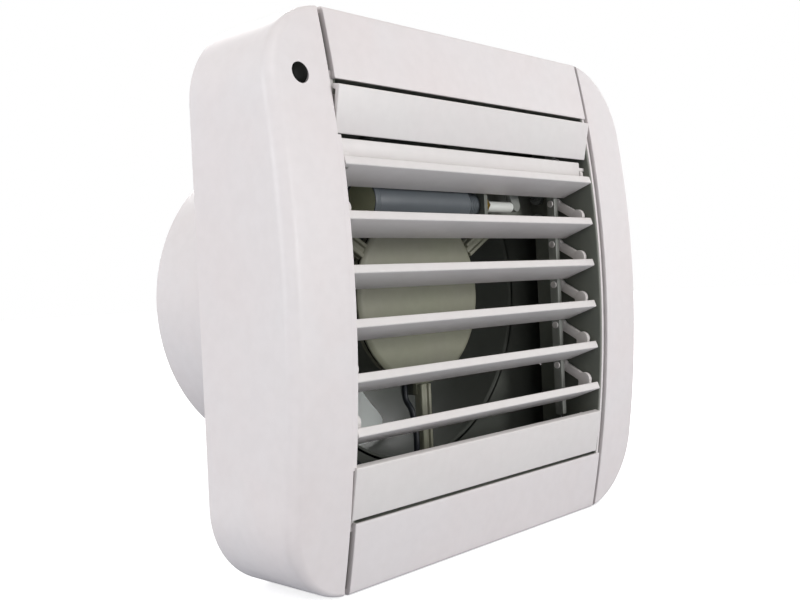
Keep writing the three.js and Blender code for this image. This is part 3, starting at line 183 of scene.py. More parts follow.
def prism(outline, axis, low, high, edge=0.25, steps=2):
    """An outline carried along an axis from low to high, with both ends' edges rounded: ring k
    is drawn in by edge (1 - sin t) and lies edge (1 - cos t) from the end."""
    turn = np.linspace(0, math.pi / 2, steps + 1) if edge > 0 else np.zeros(1)
    rings = [offset(outline, d) if d > 0 else outline for d in edge * (1 - np.sin(turn))]
    along = edge * (1 - np.cos(turn))
    return stack_of(rings + rings[::-1], np.concatenate([low + along, high - along[::-1]]), axis)


def stack_of(outlines, heights, axis, caps=True):
    """A surface through outlines of as many points each, laid at those heights along an axis."""
    return grid(np.stack([placed(o[:, 0], o[:, 1], h, axis) for o, h in zip(outlines, heights)]),
                True, caps)


def lathe(profile, axis, centre=(0.0, 0.0), sides=64, closed=False):
    """A profile of (radius, height) points turned round an axis through centre. A closed
    profile joins its last point to its first; an open one should start and end on the axis."""
    profile = np.asarray(profile, float)
    if closed:
        profile = np.vstack([profile, profile[:1]])
    angle = np.arange(sides) * 2 * math.pi / sides
    radius, height = profile[:, :1], profile[:, 1:]
    return grid(placed(centre[0] + radius * np.cos(angle), centre[1] + radius * np.sin(angle),
                       height, axis), True)


def solid_of_revolution(corners, axis, centre=(0.0, 0.0), sides=64):
    """A lathe over a filleted polygon of (radius, height, fillet) corners."""
    return lathe(filleted(corners), axis, centre, sides, closed=True)


def rod(axis, radius, low, high, centre=(0.0, 0.0), edge=0.2, sides=24):
    """A round bar with rounded ends."""
    return prism(circle(radius, sides, centre), axis, low, high, edge)


def box(x, y, z, edge=0.3, fillet=0.3):
    """A block between the pairs x, y and z with rounded edges."""
    (x0, x1), (y0, y1), (z0, z1) = x, y, z
    middle = ((x0 + x1) / 2, (z0 + z1) / 2)
    return prism(rounded_box((x1 - x0) / 2, (z1 - z0) / 2, fillet, 3, middle), "y", y0, y1, edge)


def smooth_path(points, steps):
    """A Catmull-Rom curve through the points: on each span the cubic that matches both ends and
    the slopes (next - previous) / 2."""
    p = np.asarray(points, float)
    p = np.vstack([2 * p[0] - p[1], p, 2 * p[-1] - p[-2]])
    t = np.linspace(0, 1, steps, endpoint=False)[:, None]
    spans = [0.5 * (2 * b + (c - a) * t + (2 * a - 5 * b + 4 * c - d) * t ** 2
                    + (3 * b - a - 3 * c + d) * t ** 3)
             for a, b, c, d in zip(p, p[1:], p[2:], p[3:])]
    return np.vstack([*spans, p[-2:-1]])


def tube(path, radius, sides):
    """A round section carried along a path. Its frame turns as little as it can: each normal is
    the one before, less its part along the path's direction."""
    ahead = np.gradient(path, axis=0)
    ahead /= np.linalg.norm(ahead, axis=1)[:, None]
    normal = np.empty_like(path)
    askew = (0.3, 0.5, 0.8)
    side = np.cross(ahead[0], askew)
    for i, direction in enumerate(ahead):
        side = side - direction * (side @ direction)
        side /= np.linalg.norm(side)
        normal[i] = side
    angle = np.arange(sides) * 2 * math.pi / sides
    across = np.cross(ahead, normal)
    ring = (normal[:, None] * np.cos(angle)[None, :, None]
            + across[:, None] * np.sin(angle)[None, :, None])
    return grid(path[:, None] + radius * ring, True, True)


def moved(shape, by=(0, 0, 0), about_x=0.0, about_y=0.0):
    """A shape turned about the X or Y axis by degrees, then moved."""
    points, faces = shape
    turn = (Matrix.Rotation(math.radians(about_y), 3, "Y")
            @ Matrix.Rotation(math.radians(about_x), 3, "X"))
    return points @ np.array(turn).T + np.asarray(by, float), faces


def mirrored_x(shape):
    """A shape mirrored in the plane x = 0."""
    points, faces = shape
    return points * [-1, 1, 1], faces


# ------------------------------------------------------------------ objects


def in_mm(corners):
    """A node's lowest and highest corners, given in metres, as arrays in millimetres."""
    return [np.array(corner) * 1000 for corner in corners]


def mesh_object(name, shapes):
    """One object from several shapes in millimetres: doubles merged and faces turned outwards."""
    verts, faces, count = [], [], 0
    for points, polygons in shapes:
        verts.append(points * MM)
        faces += [[i + count for i in p] for p in polygons]
        count += len(points)
    mesh = bpy.data.meshes.new(name)
    mesh.from_pydata(np.concatenate(verts), [], faces)
    bm = bmesh.new()
    bm.from_mesh(mesh)
    bmesh.ops.remove_doubles(bm, verts=bm.verts, dist=MERGED)
    bmesh.ops.dissolve_degenerate(bm, edges=bm.edges, dist=SLIVER)
    bmesh.ops.recalc_face_normals(bm, faces=bm.faces)
    bm.to_mesh(mesh)
    bm.free()
    obj = bpy.data.objects.new(name, mesh)
    bpy.context.scene.collection.objects.link(obj)
    return obj


def shade(obj, angle):
    """Smooth shading, with edges sharper than the angle in degrees kept sharp."""
    obj.data.shade_smooth()
    obj.data.set_sharp_from_angle(angle=math.radians(angle))


def applied(obj):
    """Puts the object's modifiers into its mesh."""
    shown = obj.evaluated_get(bpy.context.evaluated_depsgraph_get())
    mesh = bpy.data.meshes.new_from_object(shown)
    obj.modifiers.clear()
    obj.data = mesh


def carved(obj, shapes, joined):
    """Cuts shapes out of an object's mesh. A joined mesh is of several shapes that meet."""
    cutter = mesh_object("cutter", shapes)
    cut = obj.modifiers.new("cut", "BOOLEAN")
    cut.operation, cut.solver, cut.object, cut.use_self = "DIFFERENCE", "EXACT", cutter, joined
    applied(obj)
    bpy.data.objects.remove(cutter)


def piece(name, shapes, finish, nodes=(), body="root", angle=32, cuts=(), thickness=0.0):
    """A finished piece: built, given its wall and its cuts, painted, and set on the body that it
    rides. It stands for those CAD nodes, and takes the finish of the given name."""
    obj = mesh_object(name, shapes)
    if thickness:
        wall = obj.modifiers.new("wall", "SOLIDIFY")
        wall.thickness, wall.offset, wall.use_even_offset = thickness * MM, -1, True
        applied(obj)
    if cuts:
        carved(obj, cuts, len(shapes) > 1 and not thickness)
    shade(obj, angle)
    obj.data.materials.clear()
    obj.data.materials.append(MATERIALS[finish])
    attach(obj, body)
    if nodes:
        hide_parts(*nodes)
    return obj


# ------------------------------------------------------------------ finishes


MATERIALS = {}


def add_node(tree, kind, inputs=(), **settings):
    """A new node: its settings, then its inputs, each linked to a socket or set to a value."""
    made = tree.nodes.new(kind)
    for key, value in settings.items():
        setattr(made, key, value)
    for key, value in dict(inputs).items():
        if isinstance(value, bpy.types.NodeSocket):
            tree.links.new(value, made.inputs[key])
        else:
            made.inputs[key].default_value = value
    return made


class Finish:
    """Builds a procedural material on the Principled shader, all of it on Object coordinates."""

    def __init__(self, name, roughness=0.5, metallic=0.0, specular=0.5, coat=0.0):
        self.material = bpy.data.materials.new(name)
        self.material.use_nodes = True
        self.tree = self.material.node_tree
        self.shader = self.tree.nodes["Principled BSDF"]
        for socket, value in (("Roughness", roughness), ("Metallic", metallic),
                              ("Specular IOR Level", specular), ("Coat Weight", coat)):
            self.shader.inputs[socket].default_value = value
        self.place = self.add("ShaderNodeTexCoord").outputs["Object"]

    def add(self, kind, inputs=(), **settings):
        return add_node(self.tree, kind, inputs, **settings)

    def stretched(self, scale):
        """The place on the object, scaled along each axis."""
        return self.add("ShaderNodeMapping", {"Vector": self.place, "Scale": scale}).outputs[0]

    def noise(self, scale, detail=2.0, where=None, distortion=0.0):
        return self.add("ShaderNodeTexNoise", {
            "Vector": self.place if where is None else where, "Scale": scale, "Detail": detail,
            "Distortion": distortion}).outputs["Fac"]

    def spread(self, value, low, high, source=(0.35, 0.65), **settings):
        """A value mapped from a source range, at first that of a noise, to low and high."""
        return self.add("ShaderNodeMapRange", {
            "Value": value, "From Min": source[0], "From Max": source[1],
            "To Min": low, "To Max": high}, **settings).outputs[0]

    def mix(self, factor, first, second, blend="MIX"):
        """Two colours mixed: sockets 0, 6 and 7 are the colour mix's factor and colours."""
        return self.add("ShaderNodeMix", {0: factor, 6: first, 7: second}, data_type="RGBA",
                        blend_type=blend).outputs[2]

    def link(self, output, socket):
        self.tree.links.new(output, self.shader.inputs[socket])

    def maths(self, operation, first, second=0.0):
        return self.add("ShaderNodeMath", {0: first, 1: second}, operation=operation).outputs[0]

    def ramp(self, value, start, end):
        """0 below start and 1 above end, smoothly between them, in millimetres."""
        return self.spread(value, 0.0, 1.0, (start * MM, end * MM), interpolation_type="SMOOTHSTEP")

    def split(self):
        """The X, Y and Z of the place on the object."""
        return self.add("ShaderNodeSeparateXYZ", {0: self.place}).outputs

    def bump(self, height, strength, distance):
        """Relief: a height from 0 to 1 stands for the distance, in metres."""
        made = self.add("ShaderNodeBump", {
            "Strength": strength, "Distance": distance, "Height": height})
        self.link(made.outputs["Normal"], "Normal")


def linear(colour):
    """A colour written as sRGB, made linear by that standard's curve, with an opaque alpha."""
    c = np.asarray(colour[:3], float)
    c = np.where(c <= 0.04045, c / 12.92, ((c + 0.055) / 1.055) ** 2.4)
    return (*(float(v) for v in np.clip(c, 0, 1)), 1.0)


def front_recess_shade(f):
    """How much painted shade the casing's inner faces and grooves get: 0 on its skin, rising to 1
    from 0.4 to 4 mm behind the bulged front between the two cheeks, and from 0.2 to 1 mm within
    the panels' ends. The sides, top and bottom are left out."""
    c = sizes("fan_casing")
    x, y, z = f.split()
    panel_end, cheek_end = c.frame_width / 2 - 1.5, c.frame_width / 2 + 2.4
    reach = (c.face_height ** 2 / 4 + c.bulge ** 2) / (2 * c.bulge) * MM
    arc = f.maths("SQRT", f.maths("SUBTRACT", reach ** 2, f.maths("MULTIPLY", z, z)))
    front = f.maths("SUBTRACT", reach - (c.side_depth + c.bulge) * MM, arc)
    behind = f.maths("SUBTRACT", y, front)
    panel = f.maths("LESS_THAN", f.maths("ABSOLUTE", x), panel_end * MM)
    depth = f.maths("MAXIMUM", f.ramp(behind, 0.4, 4.0),
                    f.maths("MULTIPLY", f.ramp(behind, 0.2, 1.0), panel))
    middle = f.maths("LESS_THAN", f.maths("ABSOLUTE", x), cheek_end * MM)
    level = f.maths("LESS_THAN", f.maths("ABSOLUTE", z), (c.face_height / 2 - c.wall + 0.1) * MM)
    return f.maths("MULTIPLY", depth, f.maths("MULTIPLY", middle, level))


def duct_painted_shade(f):
    """Painted shade in the duct: 1 in the duct's bore, within 58.1 mm of the axis, and on the back
    plate's inner face, 2.3 mm or more in front of the wall plane. 0 outside."""
    across = f.add("ShaderNodeVectorMath", {0: f.stretched((1.0, 0.0, 1.0))}, operation="LENGTH")
    bore = f.maths("SUBTRACT", 1.0, f.ramp(across.outputs["Value"], 58.1, 58.4))
    return f.maths("MAXIMUM", bore, f.maths("SUBTRACT", 1.0, f.ramp(f.split()[1], -2.3, -1.4)))


def cup_shade(f):
    """Painted shade: 1 on the motor's cup, which lies in shade behind its arms, and 0 on the arms.
    """
    return f.ramp(f.split()[1], -3.6, -3.0)


def moulded(name, colour, roughness=0.45, mottle=0.05, tint=(1.0, 0.985, 0.975), grain=1600.0,
            grain_depth=0.00002, ripple=0.0, specular=0.35, painted_shade=None, inner=None):
    """Injection-moulded plastic: a fine spark-eroded grain, faint cloudy colour and gloss
    variation, and a slight waviness of the flat faces. Where the mask given says so, it has
    painted shade: the dark inner colour instead, and next to no gloss."""
    speck, unlit_specular = (0.62, 0.6, 0.58, 1.0), 0.06
    f = Finish(name, roughness, specular=specular)
    base = linear(colour)
    warm = tuple(b * t for b, t in zip(base, (*tint, 1.0)))
    cloud = f.noise(28.0, 3.0, distortion=0.4)
    fine = f.noise(260.0, 2.0)
    toned = f.mix(f.spread(cloud, 0.0, 1.0), base, warm)
    shaded = f.mix(f.spread(fine, 0.0, mottle), toned, speck, "MULTIPLY")
    # painted shade: faces in shade are mixed to the dark inner colour and lose their gloss
    if painted_shade:
        dark = painted_shade(f)
        shaded = f.mix(dark, shaded, linear(inner))
        f.link(f.spread(dark, specular, unlit_specular, (0.0, 1.0)), "Specular IOR Level")
    f.link(shaded, "Base Color")
    f.link(f.spread(f.noise(90.0, 3.0), roughness - 0.05, roughness + 0.06), "Roughness")
    height = f.noise(grain, 2.0)
    if ripple:
        height = f.maths("ADD", height, f.spread(f.noise(35.0, 1.0), 0.0, ripple, (0.0, 1.0)))
    f.bump(height, 0.35, grain_depth)
    return f.material


def plated(name, colour, roughness=0.3, scale=(1.0, 1.0, 14.0), grain=900.0):
    """Bare or plated metal: drawn scratches along one direction and cloudy tarnish."""
    f = Finish(name, roughness, metallic=1.0)
    base = linear(colour)
    lines = f.noise(grain, 3.0, f.stretched(scale))
    dull = tuple(b * 0.72 for b in base[:3]) + (1.0,)
    f.link(f.mix(f.spread(f.noise(70.0, 4.0), 0.0, 0.7), base, dull), "Base Color")
    f.link(f.spread(lines, roughness - 0.08, roughness + 0.16), "Roughness")
    f.bump(lines, 0.25, 0.00002)
    return f.material


def striped(name, first, second, pitch, axis, roughness, metallic, depth=0.0001):
    """Layers or turns side by side along an axis: a sine wave gives their colour and relief. At
    a scale of 1 the wave's pitch is pi / 10 metres."""
    f = Finish(name, roughness, metallic=metallic)
    wave = f.add("ShaderNodeTexWave", {
        "Vector": f.place, "Scale": math.pi / 10 / (pitch * MM), "Distortion": 0.25, "Detail": 1.0},
        wave_type="BANDS", bands_direction=axis).outputs["Fac"]
    f.link(f.mix(wave, linear(second), linear(first)), "Base Color")
    f.link(f.spread(f.noise(300.0), roughness - 0.08, roughness + 0.1), "Roughness")
    f.bump(wave, 0.6, depth)
    return f.material


def make_materials(look):
    """Every finish of the fan, by name. The colours are those of the panel."""
    casing, cover, inner = look.casing_colour, look.support_colour, look.inner_colour
    warm = (1.0, 0.98, 0.975)
    m = MATERIALS
    # casing, housing and motor support get painted shade: their faces in shade take a dark colour
    m["casing"] = moulded("casing_satin", casing, 0.42, 0.06, warm, ripple=1.5,
                          painted_shade=front_recess_shade, inner=inner)
    m["housing"] = moulded("housing_satin", casing, 0.42, 0.06, warm, ripple=1.5,
                           painted_shade=duct_painted_shade, inner=look.duct_colour)
    m["louvre"] = moulded("louvre_satin", look.louvre_colour, 0.4, 0.06, (1.0, 0.985, 0.99),
                          ripple=2.0)
    # the bracket's finish takes the same dark colour as the painted shade
    m["inner"] = moulded("inner_moulding", inner, 0.5)
    m["support"] = moulded("support_olive", cover, 0.5, 0.12, (0.96, 1.0, 0.93), ripple=1.0,
                           painted_shade=cup_shade, inner=inner)
    m["impeller"] = moulded("impeller_white", (0.95, 0.96, 0.95), 0.4, 0.05, (0.98, 1.0, 1.0))
    m["link"] = moulded("link_acetal", (0.56, 0.57, 0.55), 0.33, 0.04)
    m["actuator"] = moulded("actuator_sleeve", look.actuator_colour, 0.35, 0.1, (0.97, 0.98, 1.0))
    m["end_disc"] = moulded("actuator_end_olive", (0.80, 0.81, 0.68), 0.5, 0.15)
    m["bright"] = moulded("bright_moulding", (0.91, 0.92, 0.90), 0.32, 0.03)
    m["bobbin"] = moulded("bobbin_nylon", (0.90, 0.88, 0.80), 0.5, 0.06, specular=0.4)
    m["terminal"] = moulded("terminal_grey", (0.80, 0.82, 0.83), 0.5, 0.06)
    m["rubber"] = moulded("rubber_black", (0.12, 0.12, 0.12), 0.75, 0.3, grain=3000.0)
    m["wire_blue"] = moulded("wire_blue", (0.10, 0.115, 0.14), 0.45, 0.1)
    m["wire_brown"] = moulded("wire_brown", (0.35, 0.20, 0.13), 0.45, 0.1)
    m["lens"] = moulded("lamp_black", (0.035, 0.037, 0.028), 0.4, 0.2, grain_depth=0.000002,
                        specular=0.05)
    m["zinc"] = plated("zinc_plate", (0.74, 0.75, 0.76), 0.3)
    m["spring"] = plated("spring_wire", (0.66, 0.67, 0.69), 0.25)
    m["brass"] = plated("brass_turned", (0.76, 0.63, 0.32), 0.3)
    m["bronze"] = plated("bronze_sintered", (0.58, 0.44, 0.26), 0.45, (1.0, 1.0, 1.0), 2500.0)
    m["rotor"] = plated("rotor_cast", (0.68, 0.69, 0.71), 0.42, (1.0, 1.0, 1.0), 1400.0)
    m["lamination"] = striped("stator_sheets", (0.36, 0.38, 0.40), (0.20, 0.21, 0.22), 0.1728,
                              "Y", 0.45, 0.8)
    m["copper"] = striped("winding_copper", (0.72, 0.38, 0.20), (0.38, 0.16, 0.07), 0.1571,
                          "X", 0.3, 0.8)
    m["board"] = board_finish()


def board_finish():
    """A green solder mask with lighter tracks under it, laid like the joints of brickwork."""
    f = Finish("board_green", 0.35, coat=0.4)
    tracks = f.add("ShaderNodeTexBrick", {
        "Vector": f.place, "Scale": 260.0, "Mortar Size": 0.05,
        "Color1": linear((0.13, 0.36, 0.22)), "Color2": linear((0.15, 0.40, 0.25)),
        "Mortar": linear((0.28, 0.55, 0.36))})
    f.link(tracks.outputs["Color"], "Base Color")
    f.bump(f.noise(900.0), 0.2, 0.00003)
    return f.material


# ------------------------------------------------------------------ settings


def length(name, default, text):
    """A length, given in millimetres and kept in metres."""
    return FloatProperty(name=name, description=text, default=default * MM, min=0.0, precision=5,
                         subtype="DISTANCE", unit="LENGTH")


def turn(name, default, text):
    """An angle, given in degrees and kept in radians."""
    return FloatProperty(name=name, description=text, default=math.radians(default),
                         subtype="ANGLE", unit="ROTATION")


def sizes(name):
    """A group's values, with the lengths in millimetres and the angles in radians."""
    group = getattr(bpy.context.scene, name)
    values = {key: getattr(group, key) for key in group.__annotations__}
    return SimpleNamespace(**{
        key: value / MM if group.bl_rna.properties[key].unit == "LENGTH" else value
        for key, value in values.items()})


def power(name, default, text):
    """A lamp's power in watts."""
    return FloatProperty(name=name, description=text, default=default, min=0.0, unit="POWER")


def colour(name, default, text):
    """A colour, given as sRGB."""
    return FloatVectorProperty(name=name, description=text, default=default, min=0.0, max=1.0,
                               size=3, subtype="COLOR_GAMMA")


class CasingSettings(bpy.types.PropertyGroup):
    """Sizes of the casing, as in the CAD source."""
    face_width: length("Width", 180.0, "Width of the face")
    face_height: length("Height", 171.0, "Height of the face")
    side_depth: length("Side depth", 31.8, "From the wall to the front's upper edge")
    bulge: length("Bulge", 9.5, "How far the front's middle stands forward")
    corner_radius: length("Corner radius", 26.0, "Radius of the face's corners")
    side_edge: length("Side edge", 4.0, "Rounding of the left and right edges")
    top_edge: length("Top edge", 1.2, "Rounding of the upper and lower edges")
    wall: length("Wall", 2.0, "Wall of the cover")
    frame_width: length("Frame width", 132.0, "Width of the louvre frame")
    groove: length("Groove", 1.2, "Groove beside the louvre frame")
    opening_height: length("Opening", 127.8, "Height of the louvre opening")


class ShutterSettings(bpy.types.PropertyGroup):
    """Sizes of the louvre shutter, as in the CAD source."""
    slats: IntProperty(name="Slats", description="Slats from top to bottom", default=8, min=3)
    pitch: length("Pitch", 15.57, "From one slat to the next")
    face: length("Face", 13.85, "Height of a slat's flat face")
    wall: length("Wall", 1.5, "Thickness of a slat")
    lip: length("Lip", 2.7, "Depth of the flange on a slat's upper edge")
    top_gap: length("Top gap", 2.25, "Gap above the first slat")
    pivot_depth: length("Pivot depth", 33.25, "From the wall to the slats' pivots")
    tilt: turn("Tilt", 11.0, "Lean of a closed slat")
    travel: turn("Travel", 59.0, "Turn from open to closed")


class ImpellerSettings(bpy.types.PropertyGroup):
    """Sizes of the impeller, as in the CAD source."""
    blades: IntProperty(name="Blades", description="Blades round the hub", default=6, min=2)
    hub_radius: length("Hub radius", 22.5, "Radius of the hub")
    tip_radius: length("Tip radius", 55.6, "Radius at the blades' tips")
    start: turn("Start", 24.5, "Where the first blade stands, from +X towards +Z")


class LookSettings(bpy.types.PropertyGroup):
    """Colours of the fan, with the dark colours of its painted shade."""
    casing_colour: colour("Casing", (0.872, 0.850, 0.848), "Colour of the casing")
    louvre_colour: colour("Louvres", (0.860, 0.843, 0.833), "Colour of the slats")
    support_colour: colour("Motor cover", (0.54, 0.536, 0.48), "Colour of the motor's cover")
    # painted shade: the dark colour of the casing's inner faces and the motor's cup; also the
    # bracket's colour
    inner_colour: colour("Inside", (0.42, 0.43, 0.40), "Colour of the inner faces and the bracket")
    # painted shade: the dark colour laid on the duct's bore and the back plate's inner face
    duct_colour: colour("Duct", (0.33, 0.34, 0.32), "Colour of the duct's bore")
    actuator_colour: colour("Actuator", (0.36, 0.38, 0.395), "Colour of the actuator's sleeve")


class StudioSettings(bpy.types.PropertyGroup):
    """Camera and light."""
    lens: FloatProperty(name="Lens", description="Focal length", default=43.98, unit="CAMERA")
    ambient: FloatProperty(name="Ambient", description="Strength of the light from all sides",
                           default=0.44, min=0.0)
    key: power("Key", 4.5, "Power of the main lamp")
    front: power("Front", 12.0, "Power of the lamp at the front right")
    back: power("Back", 10.0, "Power of the lamp behind the fan")
    fill: power("Fill", 15.0, "Power of the side lamp")


SETTINGS = {"fan_casing": CasingSettings, "fan_shutter": ShutterSettings,
            "fan_impeller": ImpellerSettings, "fan_look": LookSettings,
            "fan_studio": StudioSettings}


def front_y(z):
    """y of the bulged front at a height z: an arc of radius (h^2 + b^2) / 2b through the upper
    and lower edges, with h half the height and b the bulge."""
    c = sizes("fan_casing")
    h = c.face_height / 2
    radius = (h * h + c.bulge ** 2) / (2 * c.bulge)
    return radius - c.side_depth - c.bulge - np.sqrt(radius ** 2 - np.square(z))


class FAN_OT_finishes(bpy.types.Operator):
    """The fan's materials, from the colours of the panel"""
    bl_idname = "exhaust_fan.finishes"
    bl_label = "Finishes"

    def execute(self, context):
        make_materials(context.scene.fan_look)
        return {"FINISHED"}


# ------------------------------------------------------------------ casing


def cheek(corner_steps=22, side_steps=30):
    """The right cheek's skin: for each point of the casing's outline, a line that runs forward
    along the side, round the edge by (1 - cos t, 1 - sin t), across the front to the groove,
    and back into the groove. The edge's radius blends from side_edge to top_edge by the
    squares of the outline normal's components."""
    c = sizes("fan_casing")
    inner, soft = c.frame_width / 2 + c.groove, 0.4
    notch, back = -c.side_depth + 3.5, -c.side_depth + 7.25
    cx, cz = c.face_width / 2 - c.corner_radius, c.face_height / 2 - c.corner_radius
    first = math.acos((inner - cx) / c.corner_radius)
    arc = np.linspace(first, 0, corner_steps)
    straight = np.linspace(cz, -cz, side_steps)[1:-1]
    nx = np.concatenate([np.cos(arc), np.ones_like(straight), np.cos(arc[::-1])])
    nz = np.concatenate([np.sin(arc), np.zeros_like(straight), -np.sin(arc[::-1])])
    x = np.where(nx < 1, cx + c.corner_radius * nx, c.face_width / 2)
    zc = np.concatenate([np.full(corner_steps, cz), straight, np.full(corner_steps, -cz)])
    z = np.where(nx < 1, zc + c.corner_radius * nz, zc)
    edge = c.side_edge * nx ** 2 + c.top_edge * nz ** 2
    rows = []
    for t in np.linspace(0, math.pi / 2, 9):
        inward, forward = 1 - math.cos(t), 1 - math.sin(t)
        zin = z - nz * edge * inward
        rows.append((np.maximum(x - nx * edge * inward, inner), front_y(zin) + edge * forward, zin))
    wall_end = rows[0][1]
    wall = [(x, notch + (wall_end - notch) * s, z) for s in np.linspace(0, 1, 4)[:-1]]
    xin, _, zin = rows[-1]
    stop, front = np.clip(xin, inner, inner + soft), front_y(zin)
    face = [(xin + (stop - xin) * s, front, zin) for s in np.linspace(0, 1, 9)[1:]]
    face += [(inner + (stop - inner) * (1 - math.sin(t)), front + soft * (1 - math.cos(t)), zin)
             for t in np.linspace(0, math.pi / 2, 5)[1:]]
    face += [(np.full_like(zin, inner), front + soft + (back - front - soft) * s, zin)
             for s in (0.5, 1.0)]
    rows = wall + rows + face
    skin = grid(np.stack([np.stack(np.broadcast_arrays(*r), -1) for r in rows]))
    return skin, np.stack([x, z], -1), notch


def upright(levels, section, side=1):
    """A bar along Z, closed at both ends: section(z) is its outline in x and y at each level,
    mirrored in x where side is -1."""
    return stack_of([section(z) * [side, 1] for z in levels], levels, "z")


def lamp_place():
    """The pilot lamp's axis as x and z, and its front and back."""
    low, high = in_mm(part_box("lamp_lens"))
    return ((low[0] + high[0]) / 2, (low[2] + high[2]) / 2), low[1], high[1]


class FAN_OT_casing_cover(bpy.types.Operator):
    """The cover: two cheeks, the side walls with a notch above and below the louvre frame, and
    its hooks, tabs and lamp holder"""
    bl_idname = "exhaust_fan.casing_cover"
    bl_label = "Casing cover"

    def execute(self, context):
        c = sizes("fan_casing")
        skin, outline, notch = cheek()
        low = self.edge_row(c, outline[-1], -c.face_height / 2)
        top = self.edge_row(c, outline[0] * [-1, 1], c.face_height / 2)
        loop = np.vstack([outline, low, outline[::-1] * [-1, 1], top])
        depth = np.linspace(0, notch, 6)[:, None]
        band = grid(np.stack(np.broadcast_arrays(loop[:, 0], depth, loop[:, 1]), -1), True)
        centre = lamp_place()[0]
        hole_radius, boss_inner, boss_outer, boss_front, boss_back = 3.05, 3.45, 5.2, -34.6, -29.0
        hole = rod("y", hole_radius, -60.0, -28.0, centre, 0.0, 48)
        piece("casing_cover", [band, skin, mirrored_x(skin)], "casing",
              ["front_cover"], cuts=[hole], thickness=c.wall)
        boss = lathe([(boss_outer, boss_front), (boss_outer, boss_back), (boss_inner, boss_back),
                      (boss_inner, boss_front)], "y", centre, 48, True)
        hook_z, hook_half, tab_x, tab_half = 52, 6, 56, 5.5
        hooks = [box(sorted((s * 87.9, s * 86.6)), (-7.0, -5.0),
                     (e * hook_z - hook_half, e * hook_z + hook_half)) for s, e in QUARTERS]
        tabs = [box((s * tab_x - tab_half, s * tab_x + tab_half), (-23.7, -21.5),
                    sorted((e * 68.0, e * 83.4))) for s, e in QUARTERS]
        piece("cover_fixings", [boss, *hooks, *tabs, self.left_ledge(c)], "casing")
        return {"FINISHED"}

    def edge_row(self, c, end, level):
        """The upper or lower edge's points, between an end of the outline and its mirror image:
        at the level between the corners' roundings, and at the end's height beyond them."""
        across = np.linspace(1, -1, 26)[1:-1, None]
        row = np.hstack([across * end[0], np.full_like(across, end[1])])
        row[np.abs(row[:, 0]) <= c.face_width / 2 - c.corner_radius + 1e-6, 1] = level
        return row

    def left_ledge(self, c):
        """The left cheek's inner edge beside the turning blades: a thin strip with a round edge
        that follows the front's arc and closes the groove there."""
        x0, x1, thick = -c.frame_width / 2 - 2.3, -c.frame_width / 2 + 0.05, 1.8

        def section(z):
            front = float(front_y(z)) - 0.02
            return filleted([(x0, front), (x1, front, 0.5), (x1, front + thick, 0.2),
                             (x0, front + thick)], 4)

        return upright(np.linspace(-48.0, 47.4, 40), section)


class FAN_OT_louvre_frame(bpy.types.Operator):
    """The middle frame: an upper and a lower panel, and the two rails that carry the slats"""
    bl_idname = "exhaust_fan.louvre_frame"
    bl_label = "Louvre frame"

    def execute(self, context):
        c = sizes("fan_casing")
        half, top, wall = c.opening_height / 2, c.face_height / 2, 2.4
        z = np.linspace(half + 0.5, top - c.top_edge, 24)
        t = np.linspace(0, math.pi / 2, 7)[1:]
        bend_z = top - c.top_edge * (1 - np.sin(t))
        bend = np.stack([front_y(bend_z) + c.top_edge * (1 - np.cos(t)), bend_z], -1)
        inside = np.linspace(top - wall, half + wall, 16)
        outer = np.stack([front_y(z), z], -1)
        inner = np.stack([front_y(inside) + wall, inside], -1)
        lip = [(front_y(half) + 0.45, half), (front_y(half) + 0.13, half + 0.13)]
        edge_back, sill_back = -28.8, -28.2
        section = np.vstack([lip, outer, bend, [(edge_back, top), (edge_back, top - wall)], inner,
                             [(sill_back, half + wall), (sill_back, half)]])
        left, right = 0.8 - c.frame_width / 2, c.frame_width / 2 - 0.3
        shapes = [prism(s, "x", left, right, 0.3, 3) for s in (section, section[::-1] * [1, -1])]
        rail_z = np.linspace(-half - wall, half + wall, 80)
        for side in (-1, 1):
            shapes.append(upright(rail_z, lambda level: self.rail_section(c, level, side), side))
            shapes += [rod("y", 3.4, -33.0, -24.0, (side * 56, e * 74)) for e in (-1, 1)]
        bracket_pins = [rod("x", 3.0, 65.5, 69.6, (-15.7, 31 + e * 4.6)) for e in (-1, 1)]
        spring_anchor = box((57.0, 61.0), (-34.0, -21.7), (-67.2, -64.2))
        piece("louvre_frame_panels", [*shapes, *bracket_pins, spring_anchor], "casing",
              ["louvre_frame"])
        return {"FINISHED"}

    def rail_section(self, c, level, side):
        """A rail's outline at a level, as on the right. The right rail follows the front, and the
        left one runs straight, and lower, behind the turning blades' ends."""
        x0, x1, back = c.frame_width / 2 - 2.6, c.frame_width / 2, -12.0
        front = float(front_y(level)) + 0.8
        if side < 0:
            front = np.interp(level, [-49, -46, 40, 42], [-34.2, -36.1, -36.1, -34.2])
        return filleted([(x0, back, 0.3), (x1, back, 0.3), (x1, front, 0.5), (x0, front, 0.5)], 3)


# ------------------------------------------------------------------ shutter


CRANK = 11.0        # from a blade's pivot to its crank pin
EAR = (61.0, 62.7)  # inner and outer face of a slat's ears


def on_slat(along, behind):
    """A point about the pivot from its distances down a slat's face and behind it: the face
    leans inward by the tilt, and starts 4.6 mm above and 5.3 mm in front of the pivot."""
    above, ahead = 4.6, 5.3
    lean = sizes("fan_shutter").tilt
    down = np.array([math.sin(lean), -math.cos(lean)])
    inward = np.array([math.cos(lean), math.sin(lean)])
    return (down * (np.asarray(along, float)[..., None] - above)
            + inward * (np.asarray(behind, float)[..., None] - ahead))


def slat_section(face):
    """A slat's section about its pivot, closed, with rounded edges: a straight face whose lower
    edge leans inward, and a flange along the upper edge."""
    s = sizes("fan_shutter")
    corners = [(0, 0, 0.45), (face, 0, 0.35), (face, s.wall, 0.35), (s.wall, s.wall, 0.4),
               (s.wall, s.lip, 0.3), (0, s.lip, 0.3)]
    flat = filleted(corners, 4)
    return on_slat(flat[:, 0], flat[:, 1])


